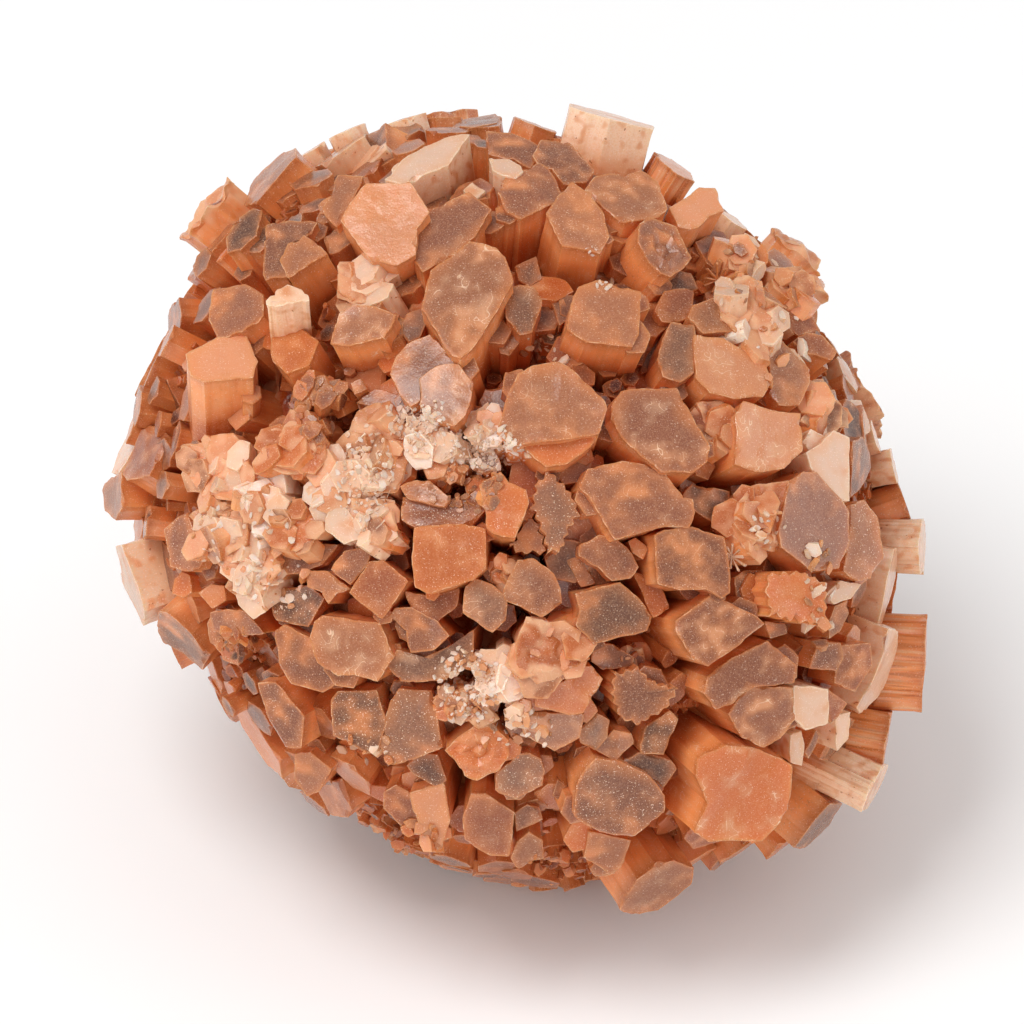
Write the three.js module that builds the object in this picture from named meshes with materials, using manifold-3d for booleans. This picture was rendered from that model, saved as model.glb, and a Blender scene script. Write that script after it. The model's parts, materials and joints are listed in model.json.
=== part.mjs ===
import * as THREE from 'three';
import { mergeVertices } from 'three/addons/utils/BufferGeometryUtils.js';
import Module from 'manifold-3d';

const wasm = await Module();
wasm.setup();

// Driving dimensions, millimetres and degrees.
const HEART_HEIGHT = 41; // the point all crystals grow from, above the resting plane
const BEST_SIDE_TILT = 40; // the best side looks this far above the horizon, toward -Y
const LONG_RADIUS = 50; // reach of the cluster from upper left to lower right of the best side
const SHORT_RADIUS = 43; // reach across that
const DEPTH_RADIUS = 40; // reach toward the best side and away from it
const SHALLOWEST = 0.2; // least share of the depth radius kept near the outline
const MASS_SHARE = 0.78; // the crystals are grown solid up to this share of their reach
const ROOT_DISTANCE = 9; // crystals are modelled from this distance off the heart outward
const SPIRAL_COUNT = 164; // growth directions spread over the whole ball
const SPIRAL_EDGE = -0.08; // directions behind this cosine make up the far side
const FAR_REACH = [0.87, 0.98]; // shortest and longest far crystal, as shares of the full reach
const FAR_HALF_WIDTH = [4.2, 7];
const FAR_ASPECT = [0.72, 1]; // thickness over width
const FAR_LEAN = 7;
const FOOT_ANGLE = 23; // crystals this close to straight down carry the weight
const FOOT_REACH = 44.5; // they are worn flat in the resting plane
const FOOT_HALF_WIDTH = 7;
const SMALLEST_FEATURE = 0.02; // edges shorter than this are merged away
const EDGE_ON_THICKNESS = 8.5; // of the crystals whose ends stand edge on, out of the face
const CORNER_DEPTH = 1; // shallower corners of an end are left out
const FOCUS = [-2, -9, -4]; // crystals of the best side point away from this spot near the heart
const FACING_SHARE = 0.3; // and lean out of the face by this much more
const GOLDEN_ANGLE = Math.PI * (3 - Math.sqrt(5));
const DIAGONAL = Math.SQRT1_2;

const rad = (degrees) => degrees * Math.PI / 180;
const mix = ([low, high], share) => low + (high - low) * share;

// Best-side axes: right, up along the face, and out of it.
const RIGHT = new THREE.Vector3(1, 0, 0);
const UP = new THREE.Vector3(0, Math.sin(rad(BEST_SIDE_TILT)), Math.cos(rad(BEST_SIDE_TILT)));
const OUT = new THREE.Vector3(0, -Math.cos(rad(BEST_SIDE_TILT)), Math.sin(rad(BEST_SIDE_TILT)));
const HEART = new THREE.Vector3(0, 0, HEART_HEIGHT);

// Crystals whose ends face the best side. The corners of each end are in millimetres right of
// and above the heart; out is how far it stands proud of the rounded outline of the cluster.
const FACING = [
  // crown, above the middle
  { out: 1.5, end: [[-5.2, 30.2], [-2.4, 29.5], [-1.4, 28.5], [-0.4, 25.8], [-2.6, 22.0], [-4.5, 18.8],
    [-6.3, 17.1], [-7.3, 17.6], [-10.6, 22.7], [-9.6, 26.9], [-7.5, 28.5]] },
  { out: 0, end: [[-11.4, 31.8], [-10.0, 33.7], [-5.5, 35.9], [-3.0, 34.0], [-4.7, 30.9], [-7.5, 28.8],
    [-10.6, 26.9], [-11.5, 28.2]] },
  { out: 3, lean: [6, -18], end: [[-17.0, 36.9], [-12.0, 36.9], [-10.0, 33.7], [-11.4, 31.8], [-11.5, 28.8],
    [-13.5, 27.7], [-16.5, 28.3], [-19.9, 32.8], [-18.3, 35.3]] },
  { out: 0, lean: [0, 12], end: [[-14.8, 37.5], [-12.9, 39.6], [-10.5, 41.3], [-7.5, 42.4], [-5.4, 42.6],
    [-7.9, 39.2], [-10.0, 38.2], [-13.0, 37.0]] },
  { out: 0.3, end: [[0.2, 37.9], [2.7, 39.0], [3.6, 38.6], [4.6, 37.4], [5.3, 35.3], [3.0, 34.4],
    [0.6, 33.3], [-1.0, 34.1], [-2.0, 35.5], [-1.2, 37.2]] },
  { out: -0.5, end: [[3.0, 42.0], [5.9, 42.0], [7.2, 40.5], [8.8, 38.6], [8.0, 37.4], [5.4, 37.2],
    [4.2, 38.8], [2.6, 39.2], [2.0, 40.2]] },
  { out: -2, end: [[-3.4, 43.0], [-0.5, 42.8], [1.9, 41.8], [3.0, 41.0], [1.6, 38.9], [-0.2, 39.9],
    [-3.0, 40.4]] },
  { out: 1.5, end: [[8.0, 36.3], [9.0, 37.8], [10.6, 38.2], [12.5, 38.0], [14.3, 38.4], [16.0, 37.2],
    [17.2, 34.2], [16.0, 33.2], [12.5, 32.7], [11.0, 33.5]] },
  { out: 1, end: [[6.4, 37.0], [8.3, 35.9], [9.7, 33.7], [10.5, 31.0], [9.5, 29.2], [5.3, 29.9],
    [3.6, 33.6], [4.9, 35.5]] },
  { out: 1.5, lean: [14, -4], end: [[14.2, 32.4], [15.5, 33.0], [18.2, 32.0], [18.9, 30.5],
    [20.0, 28.6], [18.9, 27.4], [17.6, 26.3], [16.5, 26.7], [15.0, 28.5], [14.0, 30.2]] },
  { out: 1.5, end: [[17.6, 34.3], [19.6, 35.4], [21.0, 36.5], [22.7, 36.6], [23.8, 34.1], [22.0, 33.5],
    [20.8, 32.2], [18.7, 32.3]] },
  { out: 2, end: [[7.2, 25.2], [9.5, 25.8], [12.0, 25.1], [14.2, 24.6], [14.0, 22.0], [13.8, 19.8],
    [13.2, 18.4], [8.0, 19.0], [6.0, 20.4], [6.3, 23.0]] },
  { out: -1, end: [[-0.6, 24.9], [0.5, 25.3], [2.2, 25.0], [2.9, 23.2], [1.7, 20.1], [0.4, 19.9],
    [-0.9, 21.5], [-1.2, 23.2]] },
  // middle and right of the middle
  { out: 3, end: [[0.3, 15.1], [2.0, 16.0], [4.9, 16.6], [5.9, 16.0], [9.8, 12.2], [10.2, 11.2],
    [9.3, 8.6], [6.5, 8.0], [1.5, 7.5], [-0.2, 7.2], [-1.9, 9.3], [-0.8, 12.8]] },
  { out: 2.2, end: [[3.0, 8.8], [7.0, 9.0], [9.6, 9.0], [8.3, 7.0], [5.8, 5.2], [3.4, 4.8], [1.0, 6.8]] },
  { out: 2, end: [[12.0, 13.1], [13.5, 13.5], [18.3, 13.5], [20.0, 10.2], [22.0, 7.0], [21.6, 5.4],
    [20.0, 4.2], [16.5, 4.3], [13.8, 6.5], [12.0, 8.2], [11.0, 10.2], [11.0, 11.5]] },
  { out: 0, end: [[17.7, 21.1], [20.1, 20.8], [20.4, 19.5], [20.1, 15.5], [18.6, 14.4], [16.8, 15.0],
    [16.2, 17.0], [16.8, 19.0]] },
  { out: -1.5, end: [[16.0, 22.5], [17.0, 24.7], [20.2, 24.9], [20.0, 23.0], [19.7, 21.6], [17.7, 21.2],
    [16.6, 21.3]] },
  { out: 1, end: [[20.4, 19.6], [23.5, 19.3], [26.8, 17.3], [28.2, 16.9], [29.0, 14.3], [28.0, 12.8],
    [25.0, 12.6], [22.0, 13.2], [20.5, 14.8]] },
  { out: 0.5, end: [[28.9, 17.6], [29.9, 19.4], [30.6, 18.5], [33.5, 15.8], [33.4, 14.2], [32.2, 11.8],
    [30.0, 11.8], [29.2, 13.2]] },
  { out: 2, end: [[23.4, 24.5], [25.5, 26.5], [28.0, 25.5], [30.2, 23.0], [30.5, 21.8], [29.4, 18.0],
    [27.3, 17.5], [25.0, 20.0], [23.4, 21.5]] },
  { out: 2, end: [[25.2, 8.5], [25.0, 10.5], [26.0, 12.0], [30.0, 10.8], [32.3, 10.7], [32.6, 6.5],
    [30.5, 4.7], [27.5, 4.3], [25.1, 5.0]] },
  { out: 2, end: [[33.0, 6.2], [34.9, 7.3], [36.3, 8.8], [38.0, 8.0], [38.0, 1.0], [37.0, 1.0],
    [33.9, 4.1]] },
  { out: 0.5, end: [[3.7, 4.3], [5.8, 2.2], [7.0, 0.7], [7.2, -0.9], [6.0, -2.6], [5.2, -5.0],
    [3.5, -5.2], [2.7, -2.0], [1.6, 0.0], [2.3, 2.9]] },
  { out: -0.5, end: [[1.2, -0.9], [2.7, -1.8], [3.5, -5.2], [0.3, -5.2], [-0.9, -4.4], [0.2, -2.7]] },
  { out: 2.5, end: [[-4.0, 2.5], [-1.8, 3.9], [-1.0, 2.8], [1.0, 2.0], [1.3, 0.5], [-0.2, -3.2],
    [-1.6, -3.2], [-3.2, -2.3], [-3.3, 0.0]] },
  { out: 1.5, end: [[8.2, 4.3], [12.0, 5.2], [16.2, 4.6], [18.9, 1.1], [19.9, 0.9], [20.2, -0.5],
    [19.5, -2.1], [17.0, -1.9], [11.3, -3.5], [8.2, 1.4], [7.3, 2.4]] },
  { out: 0, end: [[7.4, -4.3], [9.5, -3.2], [10.8, -3.4], [12.6, -4.6], [13.8, -6.7], [13.0, -7.8],
    [11.0, -8.1], [9.5, -6.8], [7.2, -5.4]] },
  { out: 2, end: [[15.8, -3.2], [16.8, -2.6], [20.0, -2.3], [23.6, -3.4], [24.2, -7.0], [24.3, -9.6],
    [23.5, -10.1], [21.5, -9.1], [18.5, -9.2], [16.2, -8.6]] },
  { out: 1, end: [[6.9, -9.8], [11.8, -8.5], [13.8, -10.3], [15.4, -12.4], [14.8, -13.8], [12.5, -14.4],
    [8.8, -15.3], [7.0, -13.2], [7.4, -11.8]] },
  { out: 2, end: [[18.2, -12.8], [22.3, -10.0], [26.5, -12.0], [28.2, -13.2], [26.0, -14.8],
    [24.5, -16.0], [21.8, -17.8], [20.3, -17.2], [18.5, -14.3]] },
  { out: 1.5, end: [[1.2, -12.4], [3.0, -12.8], [6.0, -14.0], [8.0, -16.2], [8.4, -17.2], [5.5, -18.6],
    [4.5, -19.7], [2.5, -19.9], [0.1, -17.8], [-0.1, -15.5]] },
  { out: 1, end: [[7.5, -18.1], [8.5, -18.1], [9.8, -19.5], [7.6, -23.2], [6.0, -23.4], [2.3, -22.5],
    [2.5, -20.8], [5.5, -19.8]] },
  { out: 0.5, end: [[0.3, -6.0], [2.0, -5.9], [4.2, -7.5], [5.0, -9.5], [5.1, -10.7], [2.9, -12.3],
    [0.0, -10.8], [-1.3, -10.3], [-1.3, -9.3]] },
  { out: 0.5, end: [[11.0, -18.7], [13.8, -18.0], [16.0, -20.0], [18.7, -20.5], [17.0, -23.0],
    [14.2, -24.8], [12.0, -24.0], [10.7, -21.5]] },
  { out: 1, end: [[21.5, -21.0], [21.9, -19.3], [24.5, -17.2], [28.7, -15.2], [31.9, -18.0],
    [31.6, -19.8], [27.0, -20.3], [24.5, -22.2], [22.8, -22.8]] },
  { out: 1, end: [[25.5, -21.5], [27.0, -20.4], [31.5, -20.6], [31.7, -24.0], [30.0, -26.2],
    [28.2, -27.2], [25.8, -26.0], [24.3, -23.5]] },
  { out: 2, end: [[31.2, 2.9], [32.8, 4.0], [34.2, 3.9], [37.0, 0.9], [37.8, -0.3], [37.9, -3.8],
    [36.8, -6.8], [33.5, -7.0], [30.3, -4.4], [30.0, -2.5]] },
  { out: 1, end: [[25.0, 0.5], [27.0, 2.5], [30.8, 3.0], [30.2, -2.5], [30.0, -4.8], [26.0, -4.5],
    [24.8, -3.0]] },
  { out: 3, end: [[28.7, -7.3], [32.5, -7.2], [35.3, -8.5], [35.4, -11.8], [35.2, -13.3], [33.0, -13.2],
    [28.8, -12.3], [28.4, -9.5]] },
  { out: -1, end: [[25.0, -8.0], [26.0, -7.3], [27.8, -7.2], [28.8, -10.5], [28.0, -12.0], [25.3, -10.6]] },
  { out: 1, end: [[38.0, 0.2], [39.7, 0.8], [41.3, -1.2], [42.0, -5.5], [40.5, -8.0], [39.0, -8.2],
    [37.4, -7.2], [38.0, -3.5]] },
  { out: 0, end: [[37.2, -15.8], [40.5, -15.5], [40.8, -18.0], [38.6, -20.8], [36.5, -19.9]] },
  { out: 1, end: [[31.7, -20.4], [33.8, -20.5], [35.5, -20.8], [35.6, -24.5], [33.0, -25.2], [31.8, -24.0]] },
  // below the middle
  { out: 2, end: [[-11.5, -2.3], [-6.5, -1.9], [-3.6, -2.5], [-3.5, -6.8], [-5.0, -8.1], [-9.9, -9.6],
    [-11.3, -8.9], [-11.7, -6.4]] },
  { out: 0, end: [[-12.8, 1.2], [-10.0, 0.4], [-7.6, 0.8], [-4.0, 1.8], [-3.6, -0.2], [-5.0, -1.8],
    [-11.0, -2.2], [-12.9, -1.3]] },
  { out: 0.5, end: [[-18.5, 0.9], [-14.0, 0.8], [-13.3, -2.6], [-16.0, -4.1], [-17.2, -2.8], [-18.2, -1.4]] },
  { out: 1, end: [[-5.6, -9.0], [-4.6, -8.2], [-2.8, -8.8], [-1.1, -10.2], [-1.3, -12.7], [-2.7, -14.0],
    [-4.4, -12.9], [-6.0, -11.8]] },
  { out: 2, end: [[-23.4, -15.0], [-22.8, -13.0], [-22.0, -12.4], [-15.5, -13.2], [-14.1, -16.9],
    [-15.7, -19.6], [-18.5, -18.8], [-20.2, -19.0], [-22.5, -17.6]] },
  { out: 0.5, end: [[-18.8, -9.6], [-16.6, -6.2], [-15.0, -6.0], [-12.4, -8.4], [-15.3, -12.5]] },
  { out: 0.5, end: [[-14.3, -12.3], [-13.7, -11.5], [-12.0, -11.5], [-9.0, -13.0], [-7.7, -14.5],
    [-9.5, -16.1], [-12.0, -16.4], [-12.5, -13.9]] },
  { out: -1, end: [[-12.5, -9.6], [-9.9, -10.2], [-6.5, -9.2], [-6.8, -11.0], [-9.0, -12.9],
    [-11.8, -11.4]] },
  { out: 0, end: [[-14.5, -18.0], [-13.5, -16.3], [-10.5, -17.2], [-7.0, -15.6], [-4.8, -14.0],
    [-5.2, -17.7], [-8.5, -19.5], [-13.0, -19.6]] },
  { out: 1, end: [[-27.4, -14.1], [-26.3, -13.4], [-23.4, -15.0], [-21.0, -18.6], [-20.5, -19.9],
    [-22.0, -20.9], [-25.5, -19.9], [-26.9, -18.0]] },
  { out: -1, end: [[-28.0, -10.3], [-27.2, -9.3], [-23.6, -8.9], [-21.9, -10.3], [-23.7, -13.4],
    [-27.3, -12.7]] },
  { out: -1, end: [[-27.0, -5.5], [-22.6, -4.3], [-20.4, -4.3], [-22.2, -6.3], [-24.4, -7.2],
    [-26.0, -7.5]] },
  { out: 1, end: [[-27.3, -2.8], [-26.6, -1.0], [-24.8, 0.9], [-23.6, 0.3], [-22.2, -2.8], [-24.8, -4.9],
    [-26.3, -4.8]] },
  { out: 1, end: [[-29.3, -20.0], [-27.5, -19.9], [-24.2, -23.8], [-24.7, -27.3], [-26.5, -27.3],
    [-28.2, -24.2]] },
  { out: 1.5, end: [[-21.0, -22.0], [-20.2, -21.0], [-16.0, -20.8], [-14.9, -24.5], [-15.7, -27.5],
    [-17.0, -27.7], [-20.8, -25.8]] },
  { out: 0.5, end: [[-14.2, -22.0], [-13.2, -20.7], [-9.8, -20.9], [-9.0, -24.0], [-8.5, -27.3],
    [-12.0, -28.6], [-14.5, -29.2], [-15.4, -27.0], [-14.8, -24.2]] },
  { out: 1.5, end: [[-8.0, -27.6], [-6.5, -26.3], [-4.5, -24.8], [-2.5, -24.9], [-1.0, -26.5],
    [-0.8, -28.0], [-2.0, -29.8], [-4.5, -30.9], [-5.8, -30.4], [-6.6, -29.0]] },
  { out: 0, end: [[0.2, -28.2], [1.5, -28.0], [2.7, -28.6], [3.2, -30.0], [2.9, -31.5], [0.0, -33.0],
    [-2.2, -32.1], [-2.1, -30.4]] },
  { out: 1, end: [[-5.0, -32.7], [-3.4, -32.6], [-0.3, -34.8], [-0.9, -39.6], [-2.8, -39.5],
    [-5.8, -37.9], [-6.0, -35.5]] },
  { out: 1, end: [[-12.0, -32.5], [-8.3, -31.5], [-7.6, -35.5], [-8.7, -38.8], [-10.0, -38.2],
    [-11.8, -34.0]] },
  { out: 0, end: [[-15.0, -32.5], [-13.7, -31.7], [-12.1, -32.7], [-10.8, -36.8], [-12.0, -37.2],
    [-15.0, -34.3]] },
  { out: 0, end: [[-25.2, -28.2], [-23.5, -28.0], [-21.2, -29.8], [-22.6, -32.3], [-24.0, -32.9],
    [-25.2, -31.0]] },
  { out: 1, end: [[0.6, -24.3], [2.0, -23.4], [7.6, -23.5], [7.1, -26.0], [4.4, -27.5], [0.9, -25.6]] },
  { out: 0, end: [[14.2, -27.0], [15.0, -25.0], [17.5, -23.2], [18.3, -24.0], [16.8, -28.0], [14.3, -27.8]] },
  { out: -0.5, end: [[12.2, -29.0], [14.0, -28.0], [17.6, -28.8], [18.2, -29.8], [16.8, -31.8]] },
  { out: 2, end: [[7.8, -30.0], [9.0, -28.6], [11.9, -29.0], [15.2, -30.7], [16.8, -32.8], [16.8, -34.5],
    [13.3, -37.5], [9.8, -37.0], [6.7, -35.1], [7.0, -31.5]] },
  { out: 3, end: [[20.6, -30.5], [20.8, -28.6], [23.6, -26.9], [26.2, -27.2], [31.2, -29.3],
    [31.1, -34.5], [28.0, -37.7], [22.2, -38.1], [20.6, -37.0], [21.8, -33.5]] },
  { out: 0, end: [[7.9, -39.8], [8.4, -37.0], [10.0, -37.4], [13.0, -38.1], [11.9, -41.0], [10.7, -41.6]] },
  // left of the middle
  { out: 2, end: [[-18.5, 23.0], [-16.0, 22.9], [-13.7, 21.9], [-14.2, 20.5], [-15.0, 19.5],
    [-19.0, 18.6], [-21.0, 18.8], [-20.5, 20.5], [-20.0, 22.1]] },
  { out: 1, end: [[-9.9, 19.6], [-6.5, 16.2], [-8.0, 14.8], [-10.8, 14.6], [-11.0, 12.3], [-12.0, 11.6],
    [-13.0, 12.9], [-14.2, 15.2], [-13.4, 17.2], [-12.4, 18.6]] },
  { out: 1.6, end: [[-6.5, 16.2], [-5.0, 14.2], [-5.2, 12.7], [-5.8, 10.6], [-7.0, 9.3], [-9.5, 10.3],
    [-10.7, 11.5], [-10.9, 14.6], [-9.0, 16.0]] },
  { out: 1, end: [[-26.7, 28.3], [-25.9, 30.1], [-24.2, 31.1], [-23.0, 30.3], [-21.6, 29.0],
    [-24.9, 27.1], [-26.0, 26.3]] },
  { out: 0, end: [[-28.5, 32.3], [-26.0, 32.8], [-22.8, 32.6], [-24.0, 31.0], [-26.0, 30.2],
    [-26.7, 28.3], [-26.2, 26.3], [-28.6, 26.3]] },
  { out: -0.5, end: [[-22.0, 34.2], [-21.3, 35.3], [-20.3, 38.0], [-17.6, 37.8], [-19.0, 34.2],
    [-20.5, 32.2], [-21.5, 33.2]] },
  { out: -1, end: [[-20.2, 24.8], [-20.0, 28.0], [-17.5, 27.4], [-15.2, 26.5], [-13.6, 24.2],
    [-15.2, 23.1], [-17.5, 22.9], [-20.2, 23.8]] },
  { out: 1, end: [[-34.5, 24.8], [-31.0, 25.5], [-28.9, 24.3], [-28.9, 22.0], [-31.3, 20.2],
    [-33.8, 19.4], [-35.0, 21.5]] },
  { out: 5, lean: [20, 6], end: [[-28.3, 23.5], [-26.8, 25.0], [-26.0, 25.3], [-24.0, 24.6],
    [-23.6, 23.6], [-25.0, 23.2], [-28.2, 22.9]] },
  { out: 3, lean: [30, 14], end: [[-37.5, 17.5], [-34.0, 19.3], [-30.8, 19.7], [-29.6, 16.6],
    [-29.9, 14.8], [-31.5, 14.9], [-35.5, 14.4], [-37.0, 15.2]] },
  { out: 1, end: [[-29.5, 8.0], [-27.5, 9.0], [-25.0, 9.2], [-23.2, 8.7], [-22.6, 6.5], [-24.3, 4.2],
    [-26.0, 3.9], [-28.5, 4.8]] },
  { out: 0, end: [[-40.2, -2.4], [-37.7, -0.6], [-36.8, -2.8], [-35.6, -5.5], [-36.1, -6.8],
    [-38.0, -7.1], [-39.5, -6.5]] },
  { out: 0, end: [[-34.9, -12.1], [-33.0, -11.6], [-30.9, -11.9], [-28.9, -14.2], [-31.0, -14.5],
    [-34.5, -13.9]] },
  { out: -0.5, lean: [0, 10], end: [[-27.6, 20.3], [-25.2, 21.0], [-22.6, 18.9], [-23.6, 16.2],
    [-26.0, 15.4], [-27.8, 17.0]] },
  // rough, crusted crystals of the left and lower middle
  { out: -0.5, end: [[-19.5, 8.0], [-18.0, 11.4], [-15.5, 11.8], [-13.0, 10.6], [-12.0, 8.0],
    [-12.6, 4.5], [-13.8, 2.0], [-16.5, 1.6], [-18.5, 4.0]] },
  { out: 0, end: [[-12.3, 10.2], [-9.5, 10.0], [-7.2, 8.6], [-8.0, 7.0], [-10.0, 5.5], [-12.0, 5.6]] },
  { out: 0, end: [[-5.2, 10.8], [-3.2, 12.0], [-1.9, 10.0], [-1.2, 8.0], [-3.2, 7.2], [-4.8, 8.4]] },
  { out: 1, end: [[-38.3, 7.1], [-35.8, 7.7], [-33.0, 5.4], [-30.3, 5.4], [-29.6, 3.4], [-31.5, 0.8],
    [-36.0, 1.4], [-36.9, 3.2], [-38.0, 4.8]] },
  { out: 2, end: [[-37.3, -0.9], [-36.2, 0.2], [-33.0, 0.6], [-30.4, -0.6], [-30.6, -4.2], [-33.2, -5.4],
    [-35.2, -4.9], [-35.8, -3.0]] },
  { out: 2, end: [[-35.0, -5.2], [-30.5, -4.2], [-27.2, -5.4], [-26.8, -7.0], [-28.9, -9.2],
    [-30.4, -9.7], [-32.0, -8.2], [-33.6, -7.2]] },
  { out: 1, end: [[-31.5, 1.2], [-30.4, 3.2], [-28.0, 2.6], [-26.2, 1.0], [-27.4, -1.2], [-30.0, -1.4]] },
  { out: 0, end: [[-23.8, 2.0], [-22.2, 4.4], [-20.2, 5.0], [-18.0, 3.6], [-19.2, 0.6], [-21.8, -0.4],
    [-23.2, 0.2]] },
  { out: 0, end: [[-5.0, -18.4], [-3.2, -16.6], [-0.4, -16.4], [0.4, -18.8], [1.2, -20.4], [-1.4, -21.8],
    [-3.8, -20.6]] },
  { out: 0, end: [[-6.4, -20.6], [-5.0, -20.2], [-3.6, -21.8], [-2.0, -24.0], [-4.2, -25.0], [-6.2, -23.0]] },
  { out: 0, end: [[32.6, 10.0], [34.2, 13.0], [36.4, 13.4], [38.0, 11.0], [38.0, 9.2], [35.0, 9.6],
    [34.0, 8.8]] },
  { out: -1, end: [[20.4, 11.8], [23.4, 12.2], [24.8, 9.4], [24.6, 6.6], [22.6, 7.4], [21.6, 9.6]] },
  { out: -1.5, end: [[19.0, 1.4], [20.0, 2.6], [24.2, 1.8], [24.2, -0.6], [22.6, -1.6], [20.8, -0.6]] },
];

// Crystals on the outline whose ends are seen nearly edge on from the best side. Depth is the
// height of the end in front of the heart.
const EDGE_ON = [
  { depth: 6, end: [[-31.3, 34.9], [-29.9, 38.1], [-26.8, 40.9], [-25.4, 41.2],
    [-25.2, 40.2], [-28.0, 37.3], [-29.8, 35.1]] },
  { depth: 5, end: [[-37.8, 26.4], [-36.0, 29.5], [-33.3, 32.5], [-32.4, 32.2],
    [-34.5, 29.8], [-36.9, 26.8]] },
  { depth: 5, end: [[-40.0, 22.0], [-39.6, 23.3], [-38.8, 24.0], [-38.5, 22.0],
    [-38.9, 19.5], [-39.8, 18.8]] },
  { depth: 9, end: [[-40.8, 14.2], [-40.0, 10.8], [-38.5, 7.4], [-37.4, 7.8], [-38.5, 11.2],
    [-39.3, 13.2], [-39.8, 14.6]] },
  { depth: 10, end: [[-42.9, 8.8], [-41.9, 9.3], [-40.5, 9.0], [-39.9, 8.1], [-42.0, 3.8],
    [-44.5, 3.3], [-45.2, 4.0]] },
  { depth: 0, end: [[-46.5, 4.3], [-45.0, 7.9], [-43.4, 8.9], [-43.3, 8.0], [-44.5, 5.8],
    [-45.6, 4.1]] },
  { depth: 4, end: [[-47.6, 2.0], [-47.2, 3.0], [-45.4, 4.0], [-45.2, 2.0], [-45.1, 0.2],
    [-46.0, -1.3], [-47.3, -0.2]] },
  { depth: 5, end: [[-45.8, -4.5], [-45.2, -4.4], [-43.5, -9.0], [-42.5, -11.8],
    [-42.8, -13.5], [-44.0, -11.0], [-45.3, -8.5]] },
  { depth: 10, end: [[-41.0, -12.0], [-40.0, -12.0], [-37.1, -14.5], [-35.5, -17.0],
    [-36.2, -18.6], [-38.2, -16.6], [-40.4, -15.5], [-41.2, -13.8]] },
  { depth: 12, end: [[-33.9, -17.0], [-31.0, -17.0], [-30.2, -16.3], [-29.9, -20.2],
    [-31.0, -20.4], [-33.4, -18.8]] },
  { depth: 5, end: [[-33.6, -20.0], [-33.0, -22.0], [-31.5, -25.2], [-28.5, -29.6],
    [-26.9, -31.0], [-27.2, -29.0], [-30.4, -24.4], [-32.2, -20.0]] },
  { depth: 10, end: [[-23.0, -32.0], [-22.0, -31.3], [-20.2, -31.2], [-18.9, -34.5],
    [-19.5, -35.4], [-21.2, -35.1]] },
  { depth: 12, end: [[12.3, -45.0], [14.0, -42.5], [16.0, -40.9], [18.0, -40.4],
    [20.3, -41.4], [20.0, -43.0], [16.3, -46.1], [13.5, -46.7], [12.0, -46.0]] },
  { depth: 3, end: [[37.4, -34.0], [36.0, -36.5], [33.2, -39.2], [32.1, -39.0],
    [34.3, -35.9], [36.0, -34.0]] },
  { depth: 9, end: [[43.7, -4.7], [43.5, -8.0], [42.9, -10.5], [41.9, -13.0], [41.2, -14.2],
    [41.9, -11.0], [42.5, -7.5], [43.2, -4.9]] },
  { depth: 10, end: [[42.7, -14.0], [43.8, -14.2], [43.6, -16.4], [42.0, -20.8],
    [39.6, -23.6], [39.1, -22.8], [40.6, -20.3], [42.2, -16.4]] },
  { depth: 3, end: [[-7.2, 43.2], [-7.0, 44.2], [-5.0, 45.0], [-2.5, 45.3], [-1.8, 44.8],
    [-2.0, 43.9], [-4.6, 43.6]] },
  { depth: 4, end: [[-23.2, 39.1], [-20.0, 41.6], [-17.6, 43.0], [-17.4, 42.6],
    [-20.0, 40.8], [-22.0, 39.5]] },
  { depth: 8, end: [[-18.2, 41.8], [-15.0, 44.0], [-14.8, 41.0], [-16.0, 39.6], [-17.4, 38.9]] },
  { depth: 8, end: [[-14.9, 43.8], [-11.3, 41.0], [-13.0, 39.6], [-14.8, 41.0]] },
  { depth: 14, end: [[38.4, 7.5], [39.7, 8.0], [40.6, 6.0], [40.9, 4.5], [39.5, 2.5],
    [38.3, 1.2]] },
  { depth: 8, end: [[38.4, 12.3], [39.6, 12.2], [40.6, 10.0], [40.7, 9.0], [40.0, 8.3],
    [38.5, 9.0]] },
];

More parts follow.
